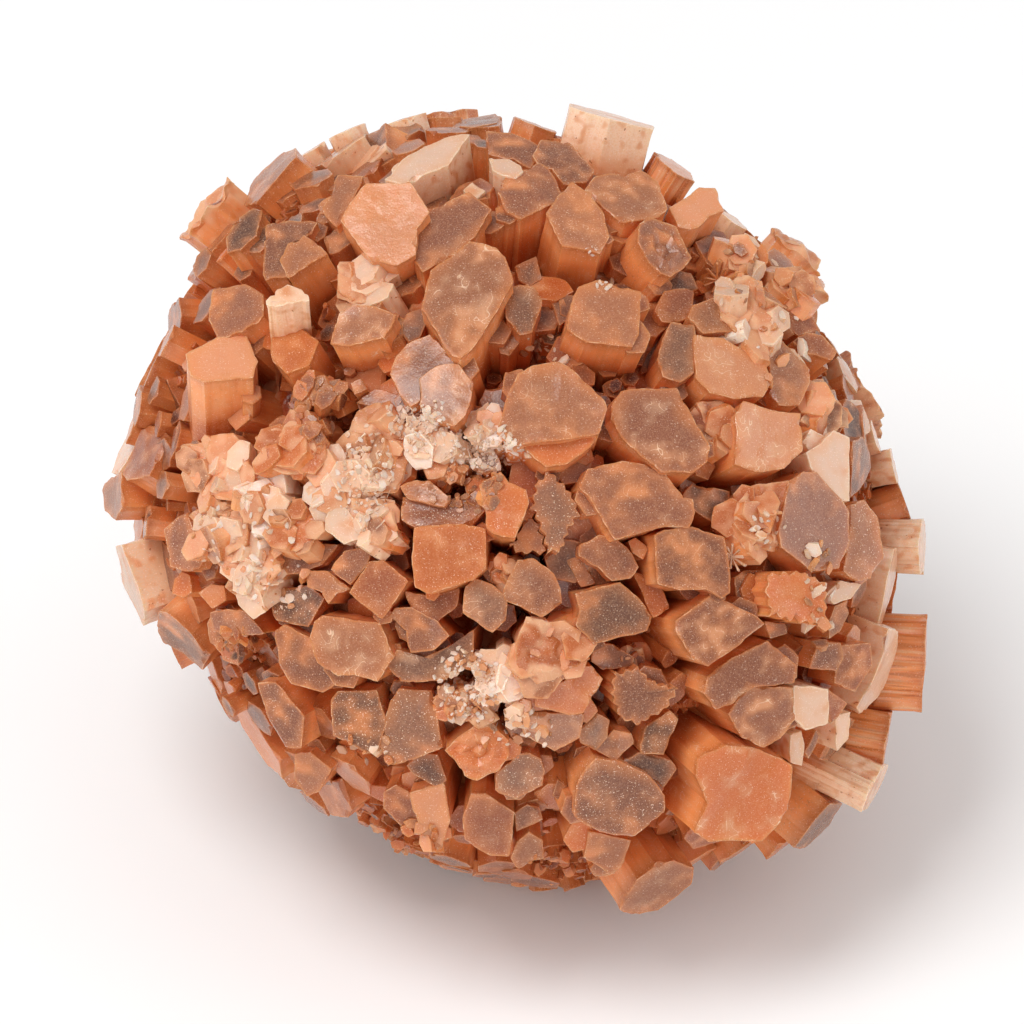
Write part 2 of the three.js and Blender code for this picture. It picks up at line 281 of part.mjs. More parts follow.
// Crystals on the outline seen from the side. Tip is right, up and out from the heart, aim the
// direction of growth around the face, toward its slope out of the face.
const SIDEWAYS = [
  { tip: [11.0, 45.0, 4], aim: 75, toward: 5, width: 10.3, thick: 9, roll: 0 },
  { tip: [2.2, 44.1, 2], aim: 70, toward: 3, width: 5.0, thick: 6, roll: 0 },
  { tip: [18.2, 39.2, 4], aim: 58, toward: 8, width: 5.2, thick: 8, roll: 10 },
  { tip: [-13.0, 44.6, 0], aim: 108, toward: 0, width: 5.0, thick: 6, roll: 10 },
  { tip: [-19.4, 43.4, -1], aim: 114, toward: 0, width: 4.4, thick: 6, roll: 0 },
  { tip: [-24.0, 40.9, -3], aim: 122, toward: 0, width: 4.0, thick: 6, roll: 20 },
  { tip: [-35.8, 34.4, 0], aim: 140, toward: 4, width: 8.6, thick: 8, roll: 15 },
  { tip: [-43.5, -2.0, 1], aim: 178, toward: 8, width: 5.0, thick: 8, roll: 0 },
  { tip: [-39.2, -16.9, 0], aim: 205, toward: 0, width: 3.0, thick: 4, roll: 20 },
  { tip: [-34.2, -18.4, 0], aim: 210, toward: 0, width: 3.0, thick: 4, roll: 0 },
  { tip: [-17.6, -34.8, 2], aim: 242, toward: 6, width: 5.5, thick: 7, roll: 0 },
  { tip: [-14.0, -37.4, 0], aim: 248, toward: 6, width: 6.0, thick: 7, roll: 30 },
  { tip: [-10.3, -39.8, 0], aim: 256, toward: 4, width: 4.0, thick: 5, roll: 0 },
  { tip: [-6.3, -41.6, 1], aim: 261, toward: 6, width: 4.6, thick: 6, roll: 15 },
  { tip: [-0.9, -42.7, 1], aim: 268, toward: 8, width: 5.6, thick: 7, roll: 0 },
  { tip: [4.6, -41.9, 2], aim: 276, toward: 10, width: 4.0, thick: 5, roll: 25 },
  { tip: [8.2, -41.4, 1], aim: 281, toward: 6, width: 4.4, thick: 6, roll: 0 },
  { tip: [25.4, -39.6, 2], aim: 303, toward: 4, width: 4.6, thick: 6, roll: 0 },
  { tip: [30.6, -39.0, 1], aim: 308, toward: 5, width: 3.6, thick: 5, roll: 20 },
  { tip: [41.2, -32.2, 4], aim: 334, toward: 6, width: 6.0, thick: 10, roll: 8 },
  { tip: [42.6, -26.9, 1], aim: 350, toward: 2, width: 7.4, thick: 9, roll: 0 },
  { tip: [47.0, -17.8, -1], aim: 357, toward: 0, width: 11.6, thick: 9, roll: 0 },
  { tip: [46.7, -4.5, 3], aim: 358, toward: 6, width: 6.4, thick: 8, roll: 0 },
  { tip: [44.7, 0.9, 1], aim: 20, toward: 2, width: 3.6, thick: 5, roll: 40 },
  { tip: [43.4, 4.8, 1], aim: 12, toward: 4, width: 4.0, thick: 6, roll: 0 },
  { tip: [41.4, 8.2, 2], aim: 18, toward: 4, width: 3.4, thick: 5, roll: 10 },
  { tip: [38.2, 15.4, 4], aim: 28, toward: 8, width: 4.6, thick: 6, roll: 0 },
  { tip: [34.6, 25.6, 1], aim: 36, toward: 6, width: 4.4, thick: 6, roll: 0 },
  { tip: [32.4, 29.8, 1], aim: 46, toward: 4, width: 7.0, thick: 7, roll: 20 },
  { tip: [25.0, 33.2, 1], aim: 54, toward: 4, width: 3.6, thick: 6, roll: 0 },
  { tip: [30.6, 27.8, 10], aim: 42, toward: 22, width: 4.6, thick: 5, roll: 0 },
];

// Repeatable scatter between 0 and 1: the fraction left of a large sine.
function scatter(index, stream) {
  const wave = Math.sin(index * 12.9898 + stream * 78.233) * 43758.5453;
  return wave - Math.floor(wave);
}

// How far the cluster reaches out of the face above a place on it.
function domeDepth(u, v) {
  const along = (v - u) * DIAGONAL / LONG_RADIUS;
  const across = (v + u) * DIAGONAL / SHORT_RADIUS;
  return DEPTH_RADIUS * Math.sqrt(Math.max(SHALLOWEST ** 2, 1 - along * along - across * across));
}

// How far the cluster reaches from the heart along a direction.
function reachAlong(direction) {
  const along = (direction.y - direction.x) * DIAGONAL / LONG_RADIUS;
  const across = (direction.y + direction.x) * DIAGONAL / SHORT_RADIUS;
  return 1 / Math.hypot(along, across, direction.z / DEPTH_RADIUS);
}

function asManifold(geometry) {
  const bare = new THREE.BufferGeometry();
  const source = geometry.index ? geometry.toNonIndexed() : geometry;
  bare.setAttribute('position', source.getAttribute('position'));
  const merged = mergeVertices(bare, 1e-5);
  return new wasm.Manifold(new wasm.Mesh({
    numProp: 3,
    vertProperties: new Float32Array(merged.getAttribute('position').array),
    triVerts: new Uint32Array(merged.index.array),
  }));
}

// Two directions across a crystal that grows along the axis.
function acrossAxis(axis) {
  const helper = Math.abs(axis.x) < 0.8 ? new THREE.Vector3(1, 0, 0) : new THREE.Vector3(0, 1, 0);
  const first = helper.addScaledVector(axis, -helper.dot(axis)).normalize();
  return [first, new THREE.Vector3().crossVectors(axis, first)];
}

// A straight crystal: its cross-section carried from near the heart to the flat end at the tip.
function crystal(section, tip, axis) {
  const [first, second] = acrossAxis(axis);
  const length = tip.length() - ROOT_DISTANCE;
  const shape = new THREE.Shape(section.map((corner) => new THREE.Vector2(...corner)));
  const geometry = new THREE.ExtrudeGeometry(shape, { depth: length, bevelEnabled: false });
  const root = tip.clone().addScaledVector(axis, -length);
  const place = new THREE.Matrix4().makeBasis(first, second, axis).setPosition(root);
  const face = new THREE.Matrix4().makeBasis(RIGHT, UP, OUT).setPosition(HEART);
  return asManifold(geometry.applyMatrix4(place).applyMatrix4(face));
}

// The corners of an end seen on the face, laid back onto the plane square to the axis.
function sectionFromView(corners, middle, axis) {
  const [first, second] = acrossAxis(axis);
  return corners.map(([u, v]) => {
    const right = u - middle[0];
    const up = v - middle[1];
    const offset = new THREE.Vector3(right, up, -(right * axis.x + up * axis.y) / axis.z);
    return [offset.dot(first), offset.dot(second)];
  });
}

// An end without the corners that stand off the line between their neighbours by too little.
function strongCorners(corners) {
  let kept = corners;
  for (;;) {
    const depths = kept.map(([u, v], k) => {
      const [pu, pv] = kept[(k + kept.length - 1) % kept.length];
      const [nu, nv] = kept[(k + 1) % kept.length];
      return Math.abs((nu - pu) * (v - pv) - (nv - pv) * (u - pu)) / Math.hypot(nu - pu, nv - pv);
    });
    const least = depths.indexOf(Math.min(...depths));
    if (depths[least] > CORNER_DEPTH || kept.length < 5) return kept;
    kept = kept.filter((corner, k) => k !== least);
  }
}

function middleOf(corners) {
  const share = 1 / corners.length;
  return [0, 1].map((k) => corners.reduce((sum, corner) => sum + corner[k] * share, 0));
}

function facingCrystal({ out, lean = [0, 0], end }) {
  const middle = middleOf(end);
  const tip = new THREE.Vector3(...middle, domeDepth(...middle) + out);
  const slant = new THREE.Vector3(Math.tan(rad(lean[0])), Math.tan(rad(lean[1])), FACING_SHARE);
  const axis = tip.clone().sub(new THREE.Vector3(...FOCUS)).normalize().add(slant).normalize();
  return crystal(sectionFromView(strongCorners(end), middle, axis), tip, axis);
}

// The long way of the strip gives the direction square to it; how narrow the strip looks for
// its real thickness gives the slope of the axis out of the face.
function edgeOnCrystal({ depth, end }) {
  const middle = middleOf(end);
  let [uu, uv, vv] = [0, 0, 0];
  for (const [u, v] of end) {
    uu += (u - middle[0]) ** 2;
    uv += (u - middle[0]) * (v - middle[1]);
    vv += (v - middle[1]) ** 2;
  }
  const turn = Math.atan2(2 * uv, uu - vv) / 2 + Math.PI / 2;
  const side = Math.sign(middle[0] * Math.cos(turn) + middle[1] * Math.sin(turn));
  const square = [side * Math.cos(turn), side * Math.sin(turn)];
  const spans = end.map(([u, v]) => u * square[0] + v * square[1]);
  const rise = Math.min(0.9, (Math.max(...spans) - Math.min(...spans)) / EDGE_ON_THICKNESS);
  const flat = Math.sqrt(1 - rise * rise);
  const axis = new THREE.Vector3(square[0] * flat, square[1] * flat, rise);
  const tip = new THREE.Vector3(...middle, depth);
  return crystal(sectionFromView(strongCorners(end), middle, axis), tip, axis);
}

// Six corners on an oval, turned by the roll.
function hexagon(halfWidth, halfThick, roll, seed) {
  return Array.from({ length: 6 }, (_, k) => {
    const angle = k * Math.PI / 3 + Math.PI / 6;
    const size = 1.06 + 0.1 * scatter(seed, k + 20);
    const x = halfWidth * size * Math.cos(angle);
    const y = halfThick * size * Math.sin(angle);
    return [x * Math.cos(roll) - y * Math.sin(roll), x * Math.sin(roll) + y * Math.cos(roll)];
  });
}

function sidewaysCrystal({ tip, aim, toward, width, thick, roll }, index) {
  const flat = Math.cos(rad(toward));
  const axis = new THREE.Vector3(
    Math.cos(rad(aim)) * flat, Math.sin(rad(aim)) * flat, Math.sin(rad(toward)));
  const [first, second] = acrossAxis(axis);
  const level = new THREE.Vector3(-Math.sin(rad(aim)), Math.cos(rad(aim)), 0);
  const turn = Math.atan2(level.dot(second), level.dot(first)) + rad(roll);
  return crystal(hexagon(width / 2, thick / 2, turn, index), new THREE.Vector3(...tip), axis);
}

// The far side: crystals of mixed sizes on evenly spread directions.
function farCrystals() {
  const made = [];
  const down = new THREE.Vector3(0, -Math.cos(rad(BEST_SIDE_TILT)), -Math.sin(rad(BEST_SIDE_TILT)));
  const footTip = down.clone().multiplyScalar(FOOT_REACH);
  made.push(crystal(hexagon(FOOT_HALF_WIDTH, FOOT_HALF_WIDTH, 0, 0), footTip, down));
  for (let i = 0; i < SPIRAL_COUNT; i += 1) {
    const z = 1 - 2 * (i + 0.5) / SPIRAL_COUNT;
    if (z > SPIRAL_EDGE) continue;
    const ring = Math.sqrt(1 - z * z);
    const direction = new THREE.Vector3(
      ring * Math.cos(GOLDEN_ANGLE * i), ring * Math.sin(GOLDEN_ANGLE * i), z);
    const foot = direction.angleTo(down) < rad(FOOT_ANGLE);
    const reach = foot ? FOOT_REACH : reachAlong(direction) * mix(FAR_REACH, scatter(i, 1));
    const half = mix(FAR_HALF_WIDTH, scatter(i, 2) ** 1.5);
    const section = hexagon(half, half * mix(FAR_ASPECT, scatter(i, 3)), scatter(i, 4) * Math.PI, i);
    const lean = rad(foot ? 0 : FAR_LEAN);
    const axis = direction.clone();
    axis.x += lean * (scatter(i, 5) - 0.5) * 2;
    axis.y += lean * (scatter(i, 6) - 0.5) * 2;
    axis.z += lean * (scatter(i, 7) - 0.5) * 2;
    made.push(crystal(section, direction.multiplyScalar(reach), axis.normalize()));
  }
  return made;
}

// The grown-together middle that closes the spaces between the roots of the crystals.
function grownMass() {
  const ball = new THREE.IcosahedronGeometry(1, 2);
  const shape = new THREE.Matrix4().makeBasis(
    new THREE.Vector3(-DIAGONAL, DIAGONAL, 0), new THREE.Vector3(-DIAGONAL, -DIAGONAL, 0),
    new THREE.Vector3(0, 0, 1));
  shape.scale(new THREE.Vector3(LONG_RADIUS, SHORT_RADIUS, DEPTH_RADIUS).multiplyScalar(MASS_SHARE));
  const face = new THREE.Matrix4().makeBasis(RIGHT, UP, OUT).setPosition(HEART);
  return asManifold(ball.applyMatrix4(shape).applyMatrix4(face));
}

// Everything below the resting plane is taken away, which leaves the flat resting spot.
function belowPlane() {
  const side = 4 * LONG_RADIUS;
  return asManifold(new THREE.BoxGeometry(side, side, side).translate(0, 0, -side / 2));
}

const crystals = [
  grownMass(),
  ...FACING.map(facingCrystal),
  ...EDGE_ON.map(edgeOnCrystal),
  ...SIDEWAYS.map(sidewaysCrystal),
  ...farCrystals(),
];

// Joined in pairs, and the pairs in pairs, until one body is left.
function joined(bodies) {
  if (bodies.length === 1) return bodies[0];
  const half = Math.ceil(bodies.length / 2);
  return joined(bodies.slice(0, half)).add(joined(bodies.slice(half)));
}

const cluster = joined(crystals).subtract(belowPlane()).simplify(SMALLEST_FEATURE);
const body = cluster.getMesh();
const geometry = new THREE.BufferGeometry();
geometry.setAttribute('position', new THREE.BufferAttribute(new Float32Array(body.vertProperties), 3));
geometry.setIndex(new THREE.BufferAttribute(new Uint32Array(body.triVerts), 1));

const aragonite = new THREE.MeshStandardMaterial({ color: 0xb9704a, roughness: 0.5, metalness: 0 });
const clusterMesh = new THREE.Mesh(geometry, aragonite);
clusterMesh.name = 'aragonite_cluster';

const part = new THREE.Group();
part.name = 'aragonite_sputnik_cluster';
part.add(clusterMesh);
export default part;
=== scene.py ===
import json
import bpy
import numpy as np
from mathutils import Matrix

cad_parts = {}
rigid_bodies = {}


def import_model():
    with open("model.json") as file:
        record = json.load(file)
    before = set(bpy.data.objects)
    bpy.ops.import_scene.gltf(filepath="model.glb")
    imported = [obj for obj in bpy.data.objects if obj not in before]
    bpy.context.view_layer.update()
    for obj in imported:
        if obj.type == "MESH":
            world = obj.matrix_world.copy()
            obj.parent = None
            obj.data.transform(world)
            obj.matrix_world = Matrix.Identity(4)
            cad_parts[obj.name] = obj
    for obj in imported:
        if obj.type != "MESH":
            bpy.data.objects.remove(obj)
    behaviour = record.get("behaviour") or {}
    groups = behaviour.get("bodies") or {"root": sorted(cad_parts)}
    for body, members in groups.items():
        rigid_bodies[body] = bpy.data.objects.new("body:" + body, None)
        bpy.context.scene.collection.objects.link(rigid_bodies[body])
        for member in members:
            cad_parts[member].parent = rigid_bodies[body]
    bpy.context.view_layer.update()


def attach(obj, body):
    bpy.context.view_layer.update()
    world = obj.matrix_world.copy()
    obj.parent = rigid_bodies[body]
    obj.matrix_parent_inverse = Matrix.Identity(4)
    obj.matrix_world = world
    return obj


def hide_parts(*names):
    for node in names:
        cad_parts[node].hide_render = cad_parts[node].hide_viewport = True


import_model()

# ---- The grown middle -------------------------------------------------------------------
# Every crystal starts at one point, the heart, and they have grown into one another for
# four fifths of their length, so the middle is solid aragonite. It shows only at the bottom
# of the deepest gaps, as a rough red-brown floor.

MM = 0.001

# The best side looks up by the tilt. Its axes point right along it, up along it and out of it.
HEART = np.array([0.0, 0.0, 41.0])
TILT = np.radians(40.0)
FACE = np.array([
    [1.0, 0.0, 0.0],
    [0.0, np.sin(TILT), np.cos(TILT)],
    [0.0, -np.cos(TILT), np.sin(TILT)]])

# The cluster is oval. Its long way runs from the upper left to the lower right of the best
# side, its short way square to that, and it is shortest out of the face.
LONG_RADIUS = 50.0
SHORT_RADIUS = 43.0
DEPTH_RADIUS = 40.0
DIAGONAL = np.sqrt(0.5)

SCATTER_TURN = 12.9898
SCATTER_SHIFT = 78.233
SCATTER_SWING = 43758.5453


def scatter(index, stream):
    """Repeatable number between 0 and 1: the fraction left of a large sine. Each use has a
    stream number of its own."""
    wave = np.sin(np.asarray(index) * SCATTER_TURN + stream * SCATTER_SHIFT) * SCATTER_SWING
    return wave - np.floor(wave)


GRID_KEYS = np.array([1.0, 57.0, 113.0])


def lumps(points, size, stream=0):
    """Smooth bumps from -1 to 1: each corner of a grid of cubes has its own scattered value,
    and between the corners the value eases from one to the next."""
    cell = np.asarray(points, float) / size
    base = np.floor(cell)
    part = cell - base
    ease = part * part * (3 - 2 * part)
    total = 0.0
    for corner in np.ndindex(*(2,) * cell.shape[-1]):
        key = (base + corner) @ GRID_KEYS[:cell.shape[-1]]
        weight = np.prod(np.where(corner, ease, 1 - ease), axis=-1)
        total = total + scatter(key, stream) * weight
    return 2 * total - 1


def reach_along(direction):
    """How far the cluster reaches from the heart: one over the length of the direction after
    each of its three parts, along, across and out of the face, is divided by its radius."""
    along = (direction[..., 1] - direction[..., 0]) * DIAGONAL / LONG_RADIUS
    across = (direction[..., 1] + direction[..., 0]) * DIAGONAL / SHORT_RADIUS
    return 1 / np.sqrt(along ** 2 + across ** 2 + (direction[..., 2] / DEPTH_RADIUS) ** 2)


def closed_mesh(name, points, faces, place, rim, tint, habit):
    """A mesh from points in millimetres on the face axes. Each corner keeps its place in its
    crystal and its distance in from the rim, each face its crystal's tint and habit."""
    mesh = bpy.data.meshes.new(name)
    mesh.from_pydata((HEART + points @ FACE) * MM, [], faces)
    corners = faces.ravel()
    kept = mesh.attributes.new("place", "FLOAT_VECTOR", "CORNER")
    kept.data.foreach_set("vector", place[corners].astype(np.float32).ravel())
    kept = mesh.attributes.new("rim", "FLOAT", "CORNER")
    kept.data.foreach_set("value", rim[corners].astype(np.float32))
    for word, values in (("tint", tint), ("habit", habit)):
        kept = mesh.attributes.new(word, "FLOAT_COLOR", "FACE")
        every_face = np.broadcast_to(np.asarray(values, np.float32), (len(faces), 4))
        kept.data.foreach_set("color", every_face.ravel())
    return mesh


def finish_piece(name, mesh, sharp):
    """Makes the object, keeps edges sharp that turn by more than the given degrees, and says
    which body it belongs to."""
    mesh.name = name
    mesh.shade_smooth()
    mesh.set_sharp_from_angle(angle=np.radians(sharp))
    piece = bpy.data.objects.new(name, mesh)
    bpy.context.scene.collection.objects.link(piece)
    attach(piece, "root")
    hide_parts("aragonite_cluster")


def ball(across, rings):
    """Points on a unit ball in rings of equal angle, with one point at each pole, and the
    triangles between them, all facing outward."""
    turn = np.arange(across) * 2 * np.pi / across
    fall = np.arange(1, rings) * np.pi / rings
    around = np.stack([
        np.sin(fall)[:, None] * np.cos(turn), np.sin(fall)[:, None] * np.sin(turn),
        np.broadcast_to(np.cos(fall)[:, None], (rings - 1, across))], axis=-1).reshape(-1, 3)
    points = np.concatenate([around, [[0, 0, 1.0], [0, 0, -1.0]]])
    return points, ring_faces(across, rings - 1)


def ring_faces(across, rings):
    """Triangles between rings of points numbered ring by ring, and the fans that close the
    first and the last ring on the two points that follow them."""
    ring = np.arange(rings - 1)[:, None] * across
    now = np.arange(across)[None]
    after = (now + 1) % across
    first = np.stack([ring + now, ring + across + now, ring + across + after], axis=-1)
    second = np.stack([ring + now, ring + across + after, ring + after], axis=-1)
    pole = np.full(across, rings * across)
    last = (rings - 1) * across
    top = np.stack([pole, now[0], after[0]], axis=-1)
    low = np.stack([pole + 1, last + after[0], last + now[0]], axis=-1)
    return np.concatenate([first.reshape(-1, 3), second.reshape(-1, 3), top, low])


# Tones of single crystals: ends, pale ones, crust and the floor of the gaps
TONES = {
    "mauve": (0.36, 0.20, 0.15),
    "tan": (0.46, 0.26, 0.175),
    "grey": (0.34, 0.22, 0.175),
    "dark": (0.22, 0.14, 0.115),
    "brown": (0.40, 0.19, 0.12),
    "orange": (0.66, 0.28, 0.12),
    "peach": (0.80, 0.49, 0.33),
    "cream": (0.86, 0.74, 0.64),
    "white": (0.93, 0.92, 0.90),
    # the gap tone is nearly black red-brown: partly the stain of the deep gaps, partly painted shade there
    "gap": (0.16, 0.045, 0.02),
}

MASS_SHARE = 0.80
MASS_ROUGHNESS = 1.6
MASS_SHARP = 60.0
PLAIN_SEED = 0.5
round_points, round_faces = ball(160, 80)
spread_out = round_points * DEPTH_RADIUS
floor_reach = reach_along(round_points) * MASS_SHARE
floor_reach += MASS_ROUGHNESS * (lumps(spread_out, 5.0, 1) + 0.5 * lumps(spread_out, 2.0, 2))
mass_points = round_points * floor_reach[:, None]
# the middle takes the gap tone, partly its red-brown stain and partly painted shade on the floor of the
# deepest gaps
mass = closed_mesh(
    "grown_middle", mass_points, round_faces, mass_points, np.zeros(len(mass_points)),
    (*TONES["gap"], PLAIN_SEED), (0, 0, 0, 1))
finish_piece("grown_middle", mass, MASS_SHARP)

# ---- Crystals of the best side ----------------------------------------------------------
# Six-sided aragonite crystals, 4 to 12 mm across, that grow straight out from the heart. The
# flat ends are frosted and mauve to tan, the sides are ribbed lengthwise and orange. Each has
# grown on its own and its rim is chipped.

# Tone, marks, how far the end stands proud of the round outline, the lean to the right and
# up in degrees, and the corners of the end, right of and above the heart in millimetres.
# The marks are: cloud and pale for a milky end, specks, stripe for strong ribs, serrate for a
# toothed outline, terrace and ring for growth steps, rough for an end crowded with blocks.
CROWN = [
    ("tan", "cloud", 1.5, (0, 0), [(-5.2, 30.2), (-2.4, 29.5), (-1.4, 28.5), (-0.4, 25.8), (-2.6, 22.0),
        (-4.5, 18.8), (-6.3, 17.1), (-7.3, 17.6), (-10.6, 22.7), (-9.6, 26.9), (-7.5, 28.5)]),
    ("mauve", "", 0, (0, 0), [(-11.4, 31.8), (-10.0, 33.7), (-5.5, 35.9), (-3.0, 34.0), (-4.7, 30.9),
        (-7.5, 28.8), (-10.6, 26.9), (-11.5, 28.2)]),
    ("peach", "", 3, (6, -18), [(-17.0, 36.9), (-12.0, 36.9), (-10.0, 33.7), (-11.4, 31.8),
        (-11.5, 28.8), (-13.5, 27.7), (-16.5, 28.3), (-19.9, 32.8), (-18.3, 35.3)]),
    ("cream", "", 0, (0, 12), [(-14.8, 37.5), (-12.9, 39.6), (-10.5, 41.3), (-7.5, 42.4), (-5.4, 42.6),
        (-7.9, 39.2), (-10.0, 38.2), (-13.0, 37.0)]),
    ("cream", "", 1.5, (0, 10), [(-3.0, 40.0), (-0.8, 39.8), (0.5, 39.0), (0.8, 38.4), (-0.2, 37.8),
        (-1.5, 38.0), (-2.6, 38.6)]),
    ("mauve", "terrace", 0.3, (0, 0), [(0.2, 37.9), (2.7, 39.0), (3.6, 38.6), (4.6, 37.4), (5.3, 35.3),
        (3.0, 34.4), (0.6, 33.3), (-1.0, 34.1), (-2.0, 35.5), (-1.2, 37.2)]),
    ("mauve", "", -0.5, (0, 0), [(3.0, 42.0), (5.9, 42.0), (7.2, 40.5), (8.8, 38.6), (8.0, 37.4),
        (5.4, 37.2), (4.2, 38.8), (2.6, 39.2), (2.0, 40.2)]),
    ("mauve", "", -2, (0, 0), [(-3.4, 43.0), (-0.5, 42.8), (1.9, 41.8), (3.0, 41.0), (1.6, 38.9),
        (-0.2, 39.9), (-3.0, 40.4)]),
    ("tan", "cloud", 1.5, (0, 0), [(8.0, 36.3), (9.0, 37.8), (10.6, 38.2), (12.5, 38.0), (14.3, 38.4),
        (16.0, 37.2), (17.2, 34.2), (16.0, 33.2), (12.5, 32.7), (11.0, 33.5)]),
    ("tan", "", 1, (0, 0), [(6.4, 37.0), (8.3, 35.9), (9.7, 33.7), (10.5, 31.0), (9.5, 29.2),
        (5.3, 29.9), (3.6, 33.6), (4.9, 35.5)]),
    ("mauve", "ring", 1.5, (14, -4), [(14.2, 32.4), (15.5, 33.0), (18.2, 32.0), (18.9, 30.5),
        (20.0, 28.6), (18.9, 27.4), (17.6, 26.3), (16.5, 26.7), (15.0, 28.5), (14.0, 30.2)]),
    ("peach", "", 1.5, (0, 0), [(17.6, 34.3), (19.6, 35.4), (21.0, 36.5), (22.7, 36.6), (23.8, 34.1),
        (22.0, 33.5), (20.8, 32.2), (18.7, 32.3)]),
    ("grey", "", -3, (0, 0), [(0.0, 27.6), (2.2, 28.6), (2.9, 26.4), (1.5, 25.3), (0.4, 26.0)]),
    ("tan", "", 2, (0, 0), [(7.2, 25.2), (9.5, 25.8), (12.0, 25.1), (14.2, 24.6), (14.0, 22.0),
        (13.8, 19.8), (13.2, 18.4), (8.0, 19.0), (6.0, 20.4), (6.3, 23.0)]),
    ("grey", "", -1, (0, 0), [(-0.6, 24.9), (0.5, 25.3), (2.2, 25.0), (2.9, 23.2), (1.7, 20.1),
        (0.4, 19.9), (-0.9, 21.5), (-1.2, 23.2)]),
    ("grey", "", -3, (0, 0), [(4.2, 23.2), (5.5, 24.1), (6.5, 24.1), (5.9, 21.6), (5.0, 20.8)]),
    ("grey", "", -3, (0, 0), [(-2.3, 19.5), (-1.5, 20.7), (0.1, 20.2), (0.4, 19.0), (-0.8, 17.4),
        (-1.7, 17.7)]),
    ("cream", "", -1, (0, 0), [(-6.0, 36.2), (-5.0, 37.1), (-3.6, 36.1), (-4.7, 35.1)]),
]
